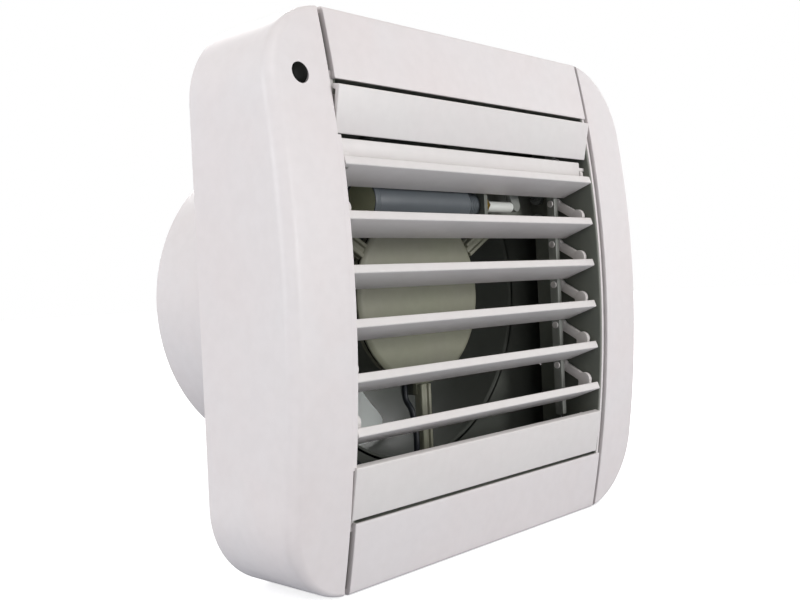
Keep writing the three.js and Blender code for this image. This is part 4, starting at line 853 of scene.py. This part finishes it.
def slat_ends(fixed):
    """The ears at a slat's ends, with square tenons, or with round hubs and pivot pins on a
    blade that turns."""
    hub, pin, proud = 2.6, 1.5, 0.04
    shapes = []
    web = np.array([on_slat(1.0 if fixed else 3.2, 0.6), on_slat(9.5, 0.6),
                    (hub, -hub if fixed else -1.0), (hub if fixed else 0.5, hub)])
    for side in (-1, 1):
        shapes.append(prism(web, "x", *sorted((side * EAR[0], side * EAR[1])), 0.2))
        ends = sorted((side * 61.2, side * 65.8))
        if fixed:
            shapes.append(prism(rounded_box(pin, pin, 0.2, 2), "x", *ends, 0.2))
        else:
            ear = sorted((side * (EAR[0] - proud), side * (EAR[1] + proud)))
            shapes += [rod("x", hub, *ear, edge=0.2), rod("x", pin, *ends, edge=0.3)]
    return shapes


class FAN_OT_louvre_slats(bpy.types.Operator):
    """Eight slats: the first and last stand shut, and the six between them turn together"""
    bl_idname = "exhaust_fan.louvre_slats"
    bl_label = "Louvre slats"

    def execute(self, context):
        s = sizes("fan_shutter")
        end = EAR[1]
        fixed_left, last_longer, last = -66.9, 1.9, s.slats - 1
        blade = [self.bar(s.face, -end, end), self.bar(2.6, -65.6, -62.2)]
        bars = {0: [self.bar(s.face, fixed_left, end)],
                last: [self.bar(s.face + last_longer, fixed_left, end)]}
        names = {0: "fixed_slat_top", last: "fixed_slat_bottom"}
        first = sizes("fan_casing").opening_height / 2 - s.top_gap - on_slat(0, 0)[1]
        crank, arm_radius, boss, pin = polar(CRANK, s.travel / 2), 1.6, 2.2, 1.3
        arm = [prism(link((0, 0), arm_radius, crank, arm_radius), "x", 61.03, 62.67, 0.2),
               rod("x", boss, 60.9, 62.77, crank, 0.2), rod("x", pin, 57.3, 61.5, crank, 0.2)]
        for i in range(s.slats):
            fixed = i in bars
            shapes = [*bars.get(i, blade), *slat_ends(fixed)]
            if not fixed:
                shapes = [moved(shape, about_x=math.degrees(s.travel)) for shape in shapes] + arm
            shapes = [moved(shape, (0, -s.pivot_depth, first - i * s.pitch)) for shape in shapes]
            node = names.get(i, f"louvre_blade_{i}")
            piece(node + "_satin", shapes, "louvre", [node],
                  "root" if fixed else f"louvre_{i}")
        self.stop_bar()
        return {"FINISHED"}

    def bar(self, face, left, right):
        """A slat's section with a face of that height, carried from left to right."""
        return prism(slat_section(face), "x", left, right, 0.25, 3)

    def stop_bar(self):
        """The fixed bar under the first slat, with a thin tongue let into the right rail."""
        low, high = in_mm(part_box("stop_bar"))
        middle, half_tongue, inset = (low[2] + high[2]) / 2, 0.6, 0.05
        tall = box((-65.6, 60.3), (low[1], high[1]), (low[2], high[2]), 0.25, 0.5)
        tongue = box((60.0, high[0]), (low[1] + inset, high[1] - inset),
                     (middle - half_tongue, middle + half_tongue), 0.15, 0.2)
        piece("stop_bar_satin", [tall, tongue], "louvre", ["stop_bar"])


class FAN_OT_linkage(bpy.types.Operator):
    """The tie bar, the bell crank that lifts it, and the spring that pulls it down"""
    bl_idname = "exhaust_fan.linkage"
    bl_label = "Louvre linkage"

    def execute(self, context):
        low, high = in_mm(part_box("tie_bar"))
        bar_y, half, corner = (low[1] + high[1]) / 2, 1.8, 0.8
        bar = prism(filleted([(bar_y - half, low[2], corner), (bar_y + half, low[2], corner),
                              (bar_y + half, high[2], corner), (bar_y - half, high[2], corner)]),
                    "x", 57.8, 60.2, 0.3)
        slot_z, slot_radius = 46.42, 1.8
        lug = box((48.6, 58.4), (bar_y - 0.9, bar_y + 0.9), (43.4, 49.4), 0.2, 1.2)
        slot = prism(link((52.0, slot_z), slot_radius, (53.0, slot_z), slot_radius), "y",
                     bar_y - 4, bar_y + 4, 0)
        piece("tie_bar_acetal", [bar, lug], "link", ["tie_bar"], "tie_bar",
              cuts=[slot])
        hub, long_arm, short_arm = np.array([38.0, 41.0]), 15.0, 10.0
        rise = math.asin(CRANK * math.sin(sizes("fan_shutter").travel / 2) / long_arm)
        pin, tip = hub + polar(long_arm, rise), hub + polar(short_arm, rise - math.pi / 2)
        arms = [prism(link(hub, 3.0, pin, 2.6), "y", -19.6, -17.3, 0.3),
                prism(link(hub, 3.0, tip, 2.2), "y", -19.56, -17.34, 0.3),
                rod("y", 4.2, -19.65, -17.25, hub, 0.3, 36), rod("y", 1.5, -25.6, -17.8, pin, 0.3)]
        piece("bell_crank_acetal", arms, "link", ["bell_crank"], "bell_crank",
              cuts=[rod("y", 2.3, -22.0, -15.0, hub, 0, 32)])
        self.spring()
        return {"FINISHED"}

    def spring(self):
        """A tension spring: x and y turn on a circle while z falls evenly, and each end runs in
        to the axis and on into its bore."""
        low, high = in_mm(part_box("return_spring"))
        x, y = (low[0] + high[0]) / 2, (low[1] + high[1]) / 2
        turns, coil_radius, wire_radius, straight = 16, 1.45, 0.28, 3.0
        t = np.linspace(0, 1, turns * 14)
        radius = coil_radius * np.clip(np.minimum(t, 1 - t) * 40, 0, 1)
        z = high[2] - straight + (low[2] + straight - high[2] + straight) * t
        coil = np.stack([x + radius * np.cos(2 * math.pi * turns * t),
                         y + radius * np.sin(2 * math.pi * turns * t), z], -1)
        path = np.vstack([[x, y, high[2]], coil, [x, y, low[2]]])
        wire = piece("return_spring_wire", [tube(path, wire_radius, 8)], "spring",
                     ["return_spring"])
        drop = 2 * CRANK * math.sin(sizes("fan_shutter").travel / 2)
        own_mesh(wire)


# ------------------------------------------------------------------ actuator


class FAN_OT_actuator(bpy.types.Operator):
    """The sleeve that holds the shutter's actuator, its end cap, nut and plunger"""
    bl_idname = "exhaust_fan.actuator"
    bl_label = "Shutter actuator"

    def execute(self, context):
        axis = (-18.8, 31.0)
        wide, neck, bore, shoulder, end = 6.8, 4.5, 2.3, 7, 19
        sleeve = [(0, -38), (wide, -38, 0.3), (wide, shoulder, 0.8), (neck, shoulder, 0.4),
                  (neck, end, 0.5), (bore, end), (bore, -4), (0, -4)]
        body = lathe(filleted(sleeve), "x", axis, 64)
        root, crest, half_width, thread_pitch = 4.3, 4.75, 0.35, 0.9
        threads = [solid_of_revolution([(root, x), (crest, x + half_width, 0.1),
                                        (root, x + 2 * half_width)], "x", axis, 40)
                   for x in np.arange(8.0, 14.0, thread_pitch)]
        piece("actuator_sleeve", [body, *threads], "actuator",
              ["actuator_body"])
        front, back = -40.3, -38.3
        ring = solid_of_revolution([(6.6, front, 0.1), (6.85, -40.6, 0.1), (7.2, -40.6, 0.3),
                                    (7.2, back, 0.2), (6.6, back)], "x", axis, 72)
        piece("actuator_cap_ring", [ring], "actuator", ["actuator_cap"])
        disc = lathe(filleted([(0, front), (6.0, front, 0.2), (6.65, -40.1), (6.65, back),
                               (0, back)]), "x", axis, 64)
        piece("actuator_end_disc", [disc], "end_disc")
        nut = [prism(circle(6.4, 6, axis), "x", 16.7, 18.5, 0.3)]
        piece("actuator_nut_brass", nut, "brass", ["actuator_nut"],
              cuts=[rod("x", 4.8, 16.0, 19.5, axis, 0, 48)])
        low, high = in_mm(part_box("actuator_plunger"))
        piece("actuator_plunger_rod", [rod("x", 2.0, low[0], high[0], axis, 0.5, 32)], "bright",
              ["actuator_plunger"], "plunger")
        return {"FINISHED"}


# ------------------------------------------------------------------ back plate and duct


def sheet_with_holes(outline, holes, low, high, bevel=0.3):
    """A flat plate in the XZ plane with holes: a filled curve, given its thickness and a bevel
    along Y, and made a mesh."""
    data = bpy.data.curves.new("plate", "CURVE")
    data.dimensions, data.fill_mode = "2D", "BOTH"
    data.extrude = (high - low) / 2 * MM - bevel * MM
    data.bevel_depth, data.bevel_resolution, data.offset = bevel * MM, 1, -bevel * MM
    for ring in (outline, *holes):
        spline = data.splines.new("POLY")
        spline.points.add(len(ring) - 1)
        height, weight = np.zeros((len(ring), 1)), np.ones((len(ring), 1))
        spline.points.foreach_set("co", np.hstack([ring * MM, height, weight]).ravel())
        spline.use_cyclic_u = True
    obj = bpy.data.objects.new("plate", data)
    bpy.context.scene.collection.objects.link(obj)
    mesh = bpy.data.meshes.new_from_object(obj.evaluated_get(bpy.context.evaluated_depsgraph_get()))
    bpy.data.objects.remove(obj)
    points = np.zeros(len(mesh.vertices) * 3)
    mesh.vertices.foreach_get("co", points)
    points = points.reshape(-1, 3) / MM
    faces = [list(p.vertices) for p in mesh.polygons]
    bpy.data.meshes.remove(mesh)
    return np.stack([points[:, 0], (low + high) / 2 - points[:, 2], points[:, 1]], -1), faces


STRUTS = (30, 150, 270)     # where the motor's arms stand, in degrees from +X towards +Z


def strut_feet():
    """Where the motor support's three arms are screwed down."""
    foot_radius = 66.5
    return [(foot_radius * math.cos(a), foot_radius * math.sin(a)) for a in np.radians(STRUTS)]


class FAN_OT_back_housing(bpy.types.Operator):
    """The back plate with its rim and posts, and the round duct spigot behind it"""
    bl_idname = "exhaust_fan.back_housing"
    bl_label = "Back plate and duct spigot"

    def execute(self, context):
        c = sizes("fan_casing")
        inset, thick, wall = 2.5, 2.5, 1.8
        hx, hz, r = c.face_width / 2 - inset, c.face_height / 2 - inset, c.corner_radius - inset
        opening, cable_hole, screw_hole, foot_post, board_post = 57.9, 6.0, 2.3, 4.5, 3.0
        holes = [circle(opening, 128), circle(cable_hole, 32, (-75.0, -53.0))]
        holes += [circle(screw_hole, 20, (sx * 78, sz * 30)) for sx, sz in QUARTERS]
        outer, inner = rounded_box(hx, hz, r, 16), rounded_box(hx - wall, hz - wall, r - wall, 16)
        plate = sheet_with_holes(outer, holes, -thick, 0.0)
        rim = stack_of([outer, outer, offset(outer, 0.3), offset(inner, -0.3), inner, inner, outer],
                       [-1.0, -11.7, -12.0, -12.0, -11.7, -1.0, -1.0], "y", caps=False)
        bore, outside, end, flange = 57.4, 59.6, 70.2, 62.0
        duct = solid_of_revolution([(bore, -thick, 1.2), (bore, end, 0.5), (outside, end, 0.9),
                                    (outside, 0.0), (flange, 0.0), (flange, -0.6), (59.4, -thick)],
                                   "y", sides=160)
        posts = [rod("y", foot_post, -3.2, -1.0, foot, 0.2, 32) for foot in strut_feet()]
        posts += [rod("y", board_post, -8.7, -1.0, place, 0.2, 32)
                  for place in ((-80.5, 43.5), (-60.6, 66.5))]
        piece("back_housing_moulding", [plate, rim, duct, *posts], "housing",
              ["back_housing"], angle=20)
        return {"FINISHED"}


class FAN_OT_motor_support(bpy.types.Operator):
    """The motor's cup with its cover, and the three channelled arms that hold it in the duct"""
    bl_idname = "exhaust_fan.motor_support"
    bl_label = "Motor support"

    def execute(self, context):
        outside, bore, lip, rear_hole, rim, inside, end = 31.5, 29.7, 30.3, 8.0, -5.1, 17.0, 19.0
        cup = solid_of_revolution([(outside, -4.2, 0.4), (outside, end, 1.6), (rear_hole, end, 0.3),
                                   (rear_hole, inside, 0.3), (bore, inside, 1.0), (bore, rim, 0.2),
                                   (lip, rim, 0.2), (lip, -4.2)], "y", sides=128)
        half, front, floor, back = 2.6, -7.1, -6.2, -3.5
        channel = filleted([(-half, front, 0.5), (-1.2, front, 0.3), (-1.0, floor, 0.2),
                            (1.0, floor, 0.2), (1.2, front, 0.3), (half, front, 0.5),
                            (half, back, 0.4), (-half, back, 0.4)], 3)
        arm = prism(channel[:, ::-1], "x", 31.6, 62.0, 0.2)
        root = box((30.8, 35.5), (-5.0, 2.9), (-3.0, 3.0), 0.3, 0.6)
        shapes = [cup]
        for angle, foot in zip(STRUTS, strut_feet()):
            shapes += [moved(s, about_y=-angle) for s in (arm, root)]
            shapes.append(solid_of_revolution([(1.7, -7.5, 0.2), (5.5, -7.5, 0.4), (5.5, back, 0.3),
                                               (1.7, back)], "y", foot, 40))
        shapes += [rod("y", 3.2, 14.4, 17.5, (s * 13.5, s * 10), 0.2) for s in (-1, 1)]
        piece("motor_support_moulding", shapes, "support", ["motor_support"])
        # painted shadow: a black ring set in the gap behind the motor's cover, where shade falls
        shadow_ring_in, shadow_ring_out = 30.35, 30.9
        ring = solid_of_revolution([(shadow_ring_in, -5.2, 0.1), (shadow_ring_out, -5.2, 0.1), (shadow_ring_out, -4.1),
                                    (shadow_ring_in, -4.1)], "y", sides=128)
        piece("motor_cover_shadow_ring", [ring], "rubber")
        sheet_back, skirt_out, skirt_in, skirt_end = -5.4, 29.4, 27.9, -2.9
        cover = lathe(filleted([(0, front), (14.0, front, 2.0), (30.0, -7.0, 3.0),
                                (outside, -6.1, 0.6), (outside, sheet_back, 0.2),
                                (skirt_out, sheet_back, 0.2),
                                (skirt_out, skirt_end, 0.2), (skirt_in, skirt_end, 0.2),
                                (skirt_in, sheet_back), (0, sheet_back)]), "y", sides=128)
        piece("motor_cover_disc", [cover], "support", ["motor_cover"], angle=24)
        return {"FINISHED"}


class FAN_OT_motor(bpy.types.Operator):
    """The turns of the motor's winding, inside the cup"""
    bl_idname = "exhaust_fan.motor"
    bl_label = "Motor"

    def execute(self, context):
        low, high = in_mm(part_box("coil_winding"))
        middle, half = (low + high)[1:] / 2, (high - low)[1:] / 2
        turns, per_turn, wall, groove = 13, 6, 1.0, 0.22
        x = np.linspace(low[0], high[0], turns * per_turn + 1)
        swell = groove * (np.abs(np.sin(math.pi * np.arange(len(x)) / per_turn)) - 1)
        ring = rounded_box(*half, 1.8, 4)
        hole = rounded_box(*(half - wall), 0.8, 4)
        outlines = [o + middle for o in (hole, *(offset(ring, -s) for s in swell), hole, hole)]
        coil = stack_of(outlines, [low[0], *x, high[0], low[0]], "x", caps=False)
        piece("coil_turns", [coil], "copper", ["coil_winding"], angle=60)
        return {"FINISHED"}


# ------------------------------------------------------------------ impeller


def impeller_blade(start, steps=(26, 18)):
    """One blade's closed surface. u runs from hub to tip and v across the section. The chord
    grows evenly from 24 to 36 mm, less a tenth trimmed off at the tip, and the pitch falls from
    46 to 26 degrees. The section is bowed, and its half thickness falls off to both edges as
    sqrt(1 - (2v)^2) (1 - (2v)^2 / 2)."""
    sunk, middle_y, bow, half_thick, lead = 1.1, 32.0, 6.4, 0.85, math.radians(16)
    u = np.linspace(0, 1, steps[0])[:, None]
    turn = np.linspace(0, 2 * math.pi, steps[1] * 2, endpoint=False)[None]
    v, side = 0.5 * np.cos(turn), np.sin(turn)
    wheel = sizes("fan_impeller")
    radius = wheel.hub_radius - sunk + (wheel.tip_radius - wheel.hub_radius + sunk) * u
    trim = 1 - 0.10 * np.clip((u - 0.8) / 0.2, 0, 1) ** 3
    chord, pitch = (24 + 12 * u) * trim, np.radians(46 - 20 * u)
    thick = half_thick * side * (1 - 0.5 * (2 * v) ** 2)
    y = middle_y + v * chord * np.sin(pitch) - bow * (0.25 - v * v) + thick
    angle = start + v * chord * np.cos(pitch) / radius + lead * u
    return grid(np.stack([radius * np.cos(angle), y, radius * np.sin(angle)], -1), True, True)


class FAN_OT_impeller(bpy.types.Operator):
    """The hub with its six twisted blades"""
    bl_idname = "exhaust_fan.impeller"
    bl_label = "Impeller"

    def execute(self, context):
        wheel = sizes("fan_impeller")
        r, wall, bore, boss = wheel.hub_radius, 1.8, 1.8, 5.0
        front, inside, back, boss_end = 21.0, 22.8, 43.0, 40.0
        hub = solid_of_revolution([(bore, front), (r, front, 1.8), (r, back, 0.4),
                                   (r - wall, back, 0.3), (r - wall, inside, 1.0),
                                   (boss, inside, 0.8), (boss, boss_end, 0.4), (bore, boss_end)],
                                  "y", sides=96)
        rib = box((4.8, r - 1.5), (22.6, 34.0), (-0.7, 0.7), 0.2, 0.2)
        ribs = [moved(rib, about_y=-a) for a in range(0, 360, 60)]
        blades = [impeller_blade(wheel.start + a)
                  for a in np.arange(wheel.blades) * 2 * math.pi / wheel.blades]
        piece("impeller_wheel", [hub, *ribs, *blades], "impeller", ["impeller"],
              "impeller", angle=40)
        return {"FINISHED"}


# ------------------------------------------------------------------ lamp, wiring, small parts


class FAN_OT_pilot_lamp(bpy.types.Operator):
    """The dark lens of the pilot lamp in the upper left of the casing"""
    bl_idname = "exhaust_fan.pilot_lamp"
    bl_label = "Pilot lamp"

    def execute(self, context):
        centre, y0, y1 = lamp_place()
        wide, stem, shoulder = 2.92, 2.25, y1 - 4.5
        profile = [(0, y0), (1.3, y0 + 0.03), (2.2, y0 + 0.14), (2.7, y0 + 0.32), (wide, y0 + 0.7),
                   (wide, shoulder, 0.2), (stem, shoulder, 0.2), (stem, y1, 0.3), (0, y1)]
        piece("lamp_lens_dark", [lathe(filleted(profile), "y", centre, 64)], "lens",
              ["lamp_lens"])
        return {"FINISHED"}


LEAD_RADIUS = 1.1       # over the lead's insulation


class FAN_OT_wiring(bpy.types.Operator):
    """The leads inside the casing, along the routes of their CAD solids"""
    bl_idname = "exhaust_fan.wiring"
    bl_label = "Internal leads"

    def execute(self, context):
        for name, node, finish, route in (
            ("motor_lead_blue", "motor_lead", "wire_blue", [
                (-65.5, -7.3, -65.9), (-65.5, -7.3, -60), (-59, -6.4, -54), (-46, -6, -46.5),
                (-31, -6, -57), (-14, -6, -63), (-6.5, -5.8, -60), (-4.8, -5.5, -50),
                (-4.8, -4, -41), (-4.8, -1, -36), (-4.8, -1, -26.9)]),
            ("board_lead_brown", "board_lead", "wire_brown", [
                (-74.5, -7.3, -65.9), (-74.5, -7.3, -55), (-74.5, -7.3, -20), (-74.5, -7.8, 15),
                (-74.5, -9.8, 32), (-74.5, -9.8, 39.7)]),
            ("actuator_lead_black", "actuator_lead", "rubber", [
                (-26, -11.7, 31), (-26, -10.3, 31), (-28, -8.3, 33.5), (-34, -7.9, 39),
                (-43, -7.9, 43), (-52, -9.8, 49), (-57.7, -9.8, 49.5)]),
        ):
            piece(name, [tube(smooth_path(route, 10), LEAD_RADIUS, 14)], finish, [node])
        return {"FINISHED"}


NODE_FINISHES = {
    "zinc": ["motor_shaft", "front_bearing_bracket", "rear_bearing_bracket", "bell_crank_screw"]
    + [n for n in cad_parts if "_screw_" in n and not n.startswith("terminal")],
    "brass": ["impeller_nut", "terminal_screw_1", "terminal_screw_2", "terminal_screw_3"],
    "lamination": ["stator_core"], "bobbin": ["bobbin"], "rotor": ["rotor"],
    "bronze": ["front_bush", "rear_bush"], "terminal": ["terminal_block"],
    "rubber": ["cable_grommet"], "board": ["control_board"], "bright": ["pilot_led"],
    "inner": ["actuator_bracket"],
}


class FAN_OT_node_finishes(bpy.types.Operator):
    """Finishes for the CAD pieces that are shown as they are"""
    bl_idname = "exhaust_fan.node_finishes"
    bl_label = "Finishes of the CAD pieces"

    def execute(self, context):
        for name, nodes in NODE_FINISHES.items():
            for node in nodes:
                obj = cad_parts[node]
                for slot in obj.material_slots:
                    slot.link = "OBJECT"
                    slot.material = MATERIALS[name]
                if not obj.material_slots:
                    obj.data.materials.append(MATERIALS[name])
        plain = [o.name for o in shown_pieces() if not o.material_slots
                 or o.material_slots[0].material not in MATERIALS.values()]
        if plain:
            raise RuntimeError(f"no finish on {plain}")
        return {"FINISHED"}


# ------------------------------------------------------------------ stage


WHITE = (1.0, 1.0, 1.0, 1.0)


def lamp(name, location, target, size, watts, tone=(1.0, 1.0, 1.0)):
    """A soft round lamp of that size, turned towards the target."""
    data = bpy.data.lights.new(name, "AREA")
    data.shape, data.size, data.energy, data.color = "DISK", size, watts, tone
    obj = bpy.data.objects.new(name, data)
    bpy.context.scene.collection.objects.link(obj)
    obj.location = location
    obj.rotation_euler = (Vector(target) - Vector(location)).to_track_quat("-Z", "Y").to_euler()


class FAN_OT_stage(bpy.types.Operator):
    """The floor, the light, and the camera at the photograph's viewing angle"""
    bl_idname = "exhaust_fan.stage"
    bl_label = "Stage, light and camera"

    def execute(self, context):
        studio = context.scene.fan_studio
        data = bpy.data.cameras.new("camera")
        data.lens, data.sensor_width = studio.lens, 36.0
        data.clip_start, data.clip_end = 0.01, 50.0
        camera = bpy.data.objects.new("camera", data)
        context.scene.collection.objects.link(camera)
        eye, angles = (-0.2584, -0.2387, 0.0047), (-46.809, -0.999, 2.633)
        yaw, pitch, roll = (math.radians(a) for a in angles)
        camera.matrix_world = (
            Matrix.Translation(eye) @ Matrix.Rotation(yaw, 4, "Z") @ Matrix.Rotation(pitch, 4, "X")
            @ Matrix.Rotation(roll, 4, "Y") @ Matrix.Rotation(math.pi / 2, 4, "X"))
        context.scene.camera = camera
        self.world(context, studio)
        self.floor()
        lamp("key", (-0.5, -1.25, 1.1), (0, -0.02, 0), 0.8, studio.key, (1.0, 0.99, 0.98))
        lamp("front", (0.45, -1.45, 0.2), (0, -0.02, 0), 0.6, studio.front)
        lamp("side", (-1.6, 0.3, 0.35), (0, 0, 0), 0.9, studio.fill, (0.98, 0.99, 1.0))
        lamp("back", (0.7, 1.4, 0.8), (0, 0.03, 0), 0.8, studio.back)
        context.scene.view_settings.view_transform = "Standard"
        return {"FINISHED"}

    def world(self, context, studio):
        """White to the camera and in reflections, and a plain soft light from all sides."""
        world = bpy.data.worlds.new("studio")
        context.scene.world = world
        world.use_nodes = True
        tree = world.node_tree
        background = tree.nodes["Background"]
        background.inputs["Color"].default_value = WHITE
        path = add_node(tree, "ShaderNodeLightPath").outputs
        seen = path["Is Camera Ray"]
        for name in ("Is Glossy Ray", "Is Transmission Ray"):
            seen = add_node(tree, "ShaderNodeMath", {0: seen, 1: path[name]},
                            operation="MAXIMUM").outputs[0]
        strength = add_node(tree, "ShaderNodeMapRange", {
            "Value": seen, "To Min": studio.ambient, "To Max": 1.0}).outputs[0]
        tree.links.new(strength, background.inputs["Strength"])

    def floor(self):
        """A pale floor under the casing that runs out of sight: it glows to the camera, and more
        so away from the fan, and is a light grey for the light that it throws back."""
        gap, reach = 0.2, 4000
        z = CAD_BOX[0][2] * 1000 - gap
        steps = np.linspace(-reach, reach, 3)
        x, y = np.meshgrid(steps, steps, indexing="ij")
        obj = mesh_object("floor", [grid(np.stack([x, y, np.full_like(x, z)], -1))])
        f = Finish("floor_white", 0.9, specular=0.1)
        path = f.add("ShaderNodeLightPath").outputs["Is Camera Ray"]
        pale, paler = (0.8, 0.8, 0.8, 1.0), (0.92, 0.92, 0.92, 1.0)
        thrown_back = (0.46, 0.49, 0.54, 1.0)
        seen = f.mix(f.spread(f.noise(8.0), 0.0, 0.02), paler, pale)
        f.link(f.mix(path, thrown_back, seen), "Base Color")
        f.shader.inputs["Emission Color"].default_value = WHITE
        near, far, least_glow = 0.15, 0.6, 0.6
        away = f.add("ShaderNodeVectorMath", {0: f.place}, operation="LENGTH").outputs["Value"]
        glow = f.spread(away, least_glow, 1.0, (near, far))
        f.link(f.maths("MULTIPLY", path, glow), "Emission Strength")
        obj.data.materials.append(f.material)
        obj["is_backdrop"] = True


OPERATORS = [FAN_OT_finishes, FAN_OT_casing_cover, FAN_OT_louvre_frame, FAN_OT_louvre_slats,
             FAN_OT_linkage, FAN_OT_actuator, FAN_OT_back_housing, FAN_OT_motor_support,
             FAN_OT_motor, FAN_OT_impeller, FAN_OT_pilot_lamp, FAN_OT_wiring,
             FAN_OT_node_finishes, FAN_OT_stage]


class FAN_PT_panel(bpy.types.Panel):
    """The fan's pieces and settings"""
    bl_idname = "FAN_PT_panel"
    bl_label = "Exhaust fan"
    bl_space_type = "VIEW_3D"
    bl_region_type = "UI"
    bl_category = "Exhaust fan"

    def draw(self, context):
        for name, group in SETTINGS.items():
            column = self.layout.column(align=True)
            for key in group.__annotations__:
                column.prop(getattr(context.scene, name), key)
        for operator in OPERATORS:
            self.layout.operator(operator.bl_idname)


CLASSES = [*SETTINGS.values(), *OPERATORS, FAN_PT_panel]


def register():
    for c in CLASSES:
        bpy.utils.register_class(c)
    for name, group in SETTINGS.items():
        setattr(bpy.types.Scene, name, PointerProperty(type=group))


def unregister():
    for name in SETTINGS:
        delattr(bpy.types.Scene, name)
    for c in reversed(CLASSES):
        bpy.utils.unregister_class(c)


def main():
    register()
    for operator in OPERATORS:
        group, name = operator.bl_idname.split(".")
        getattr(getattr(bpy.ops, group), name)()


if __name__ == "__main__":
    main()
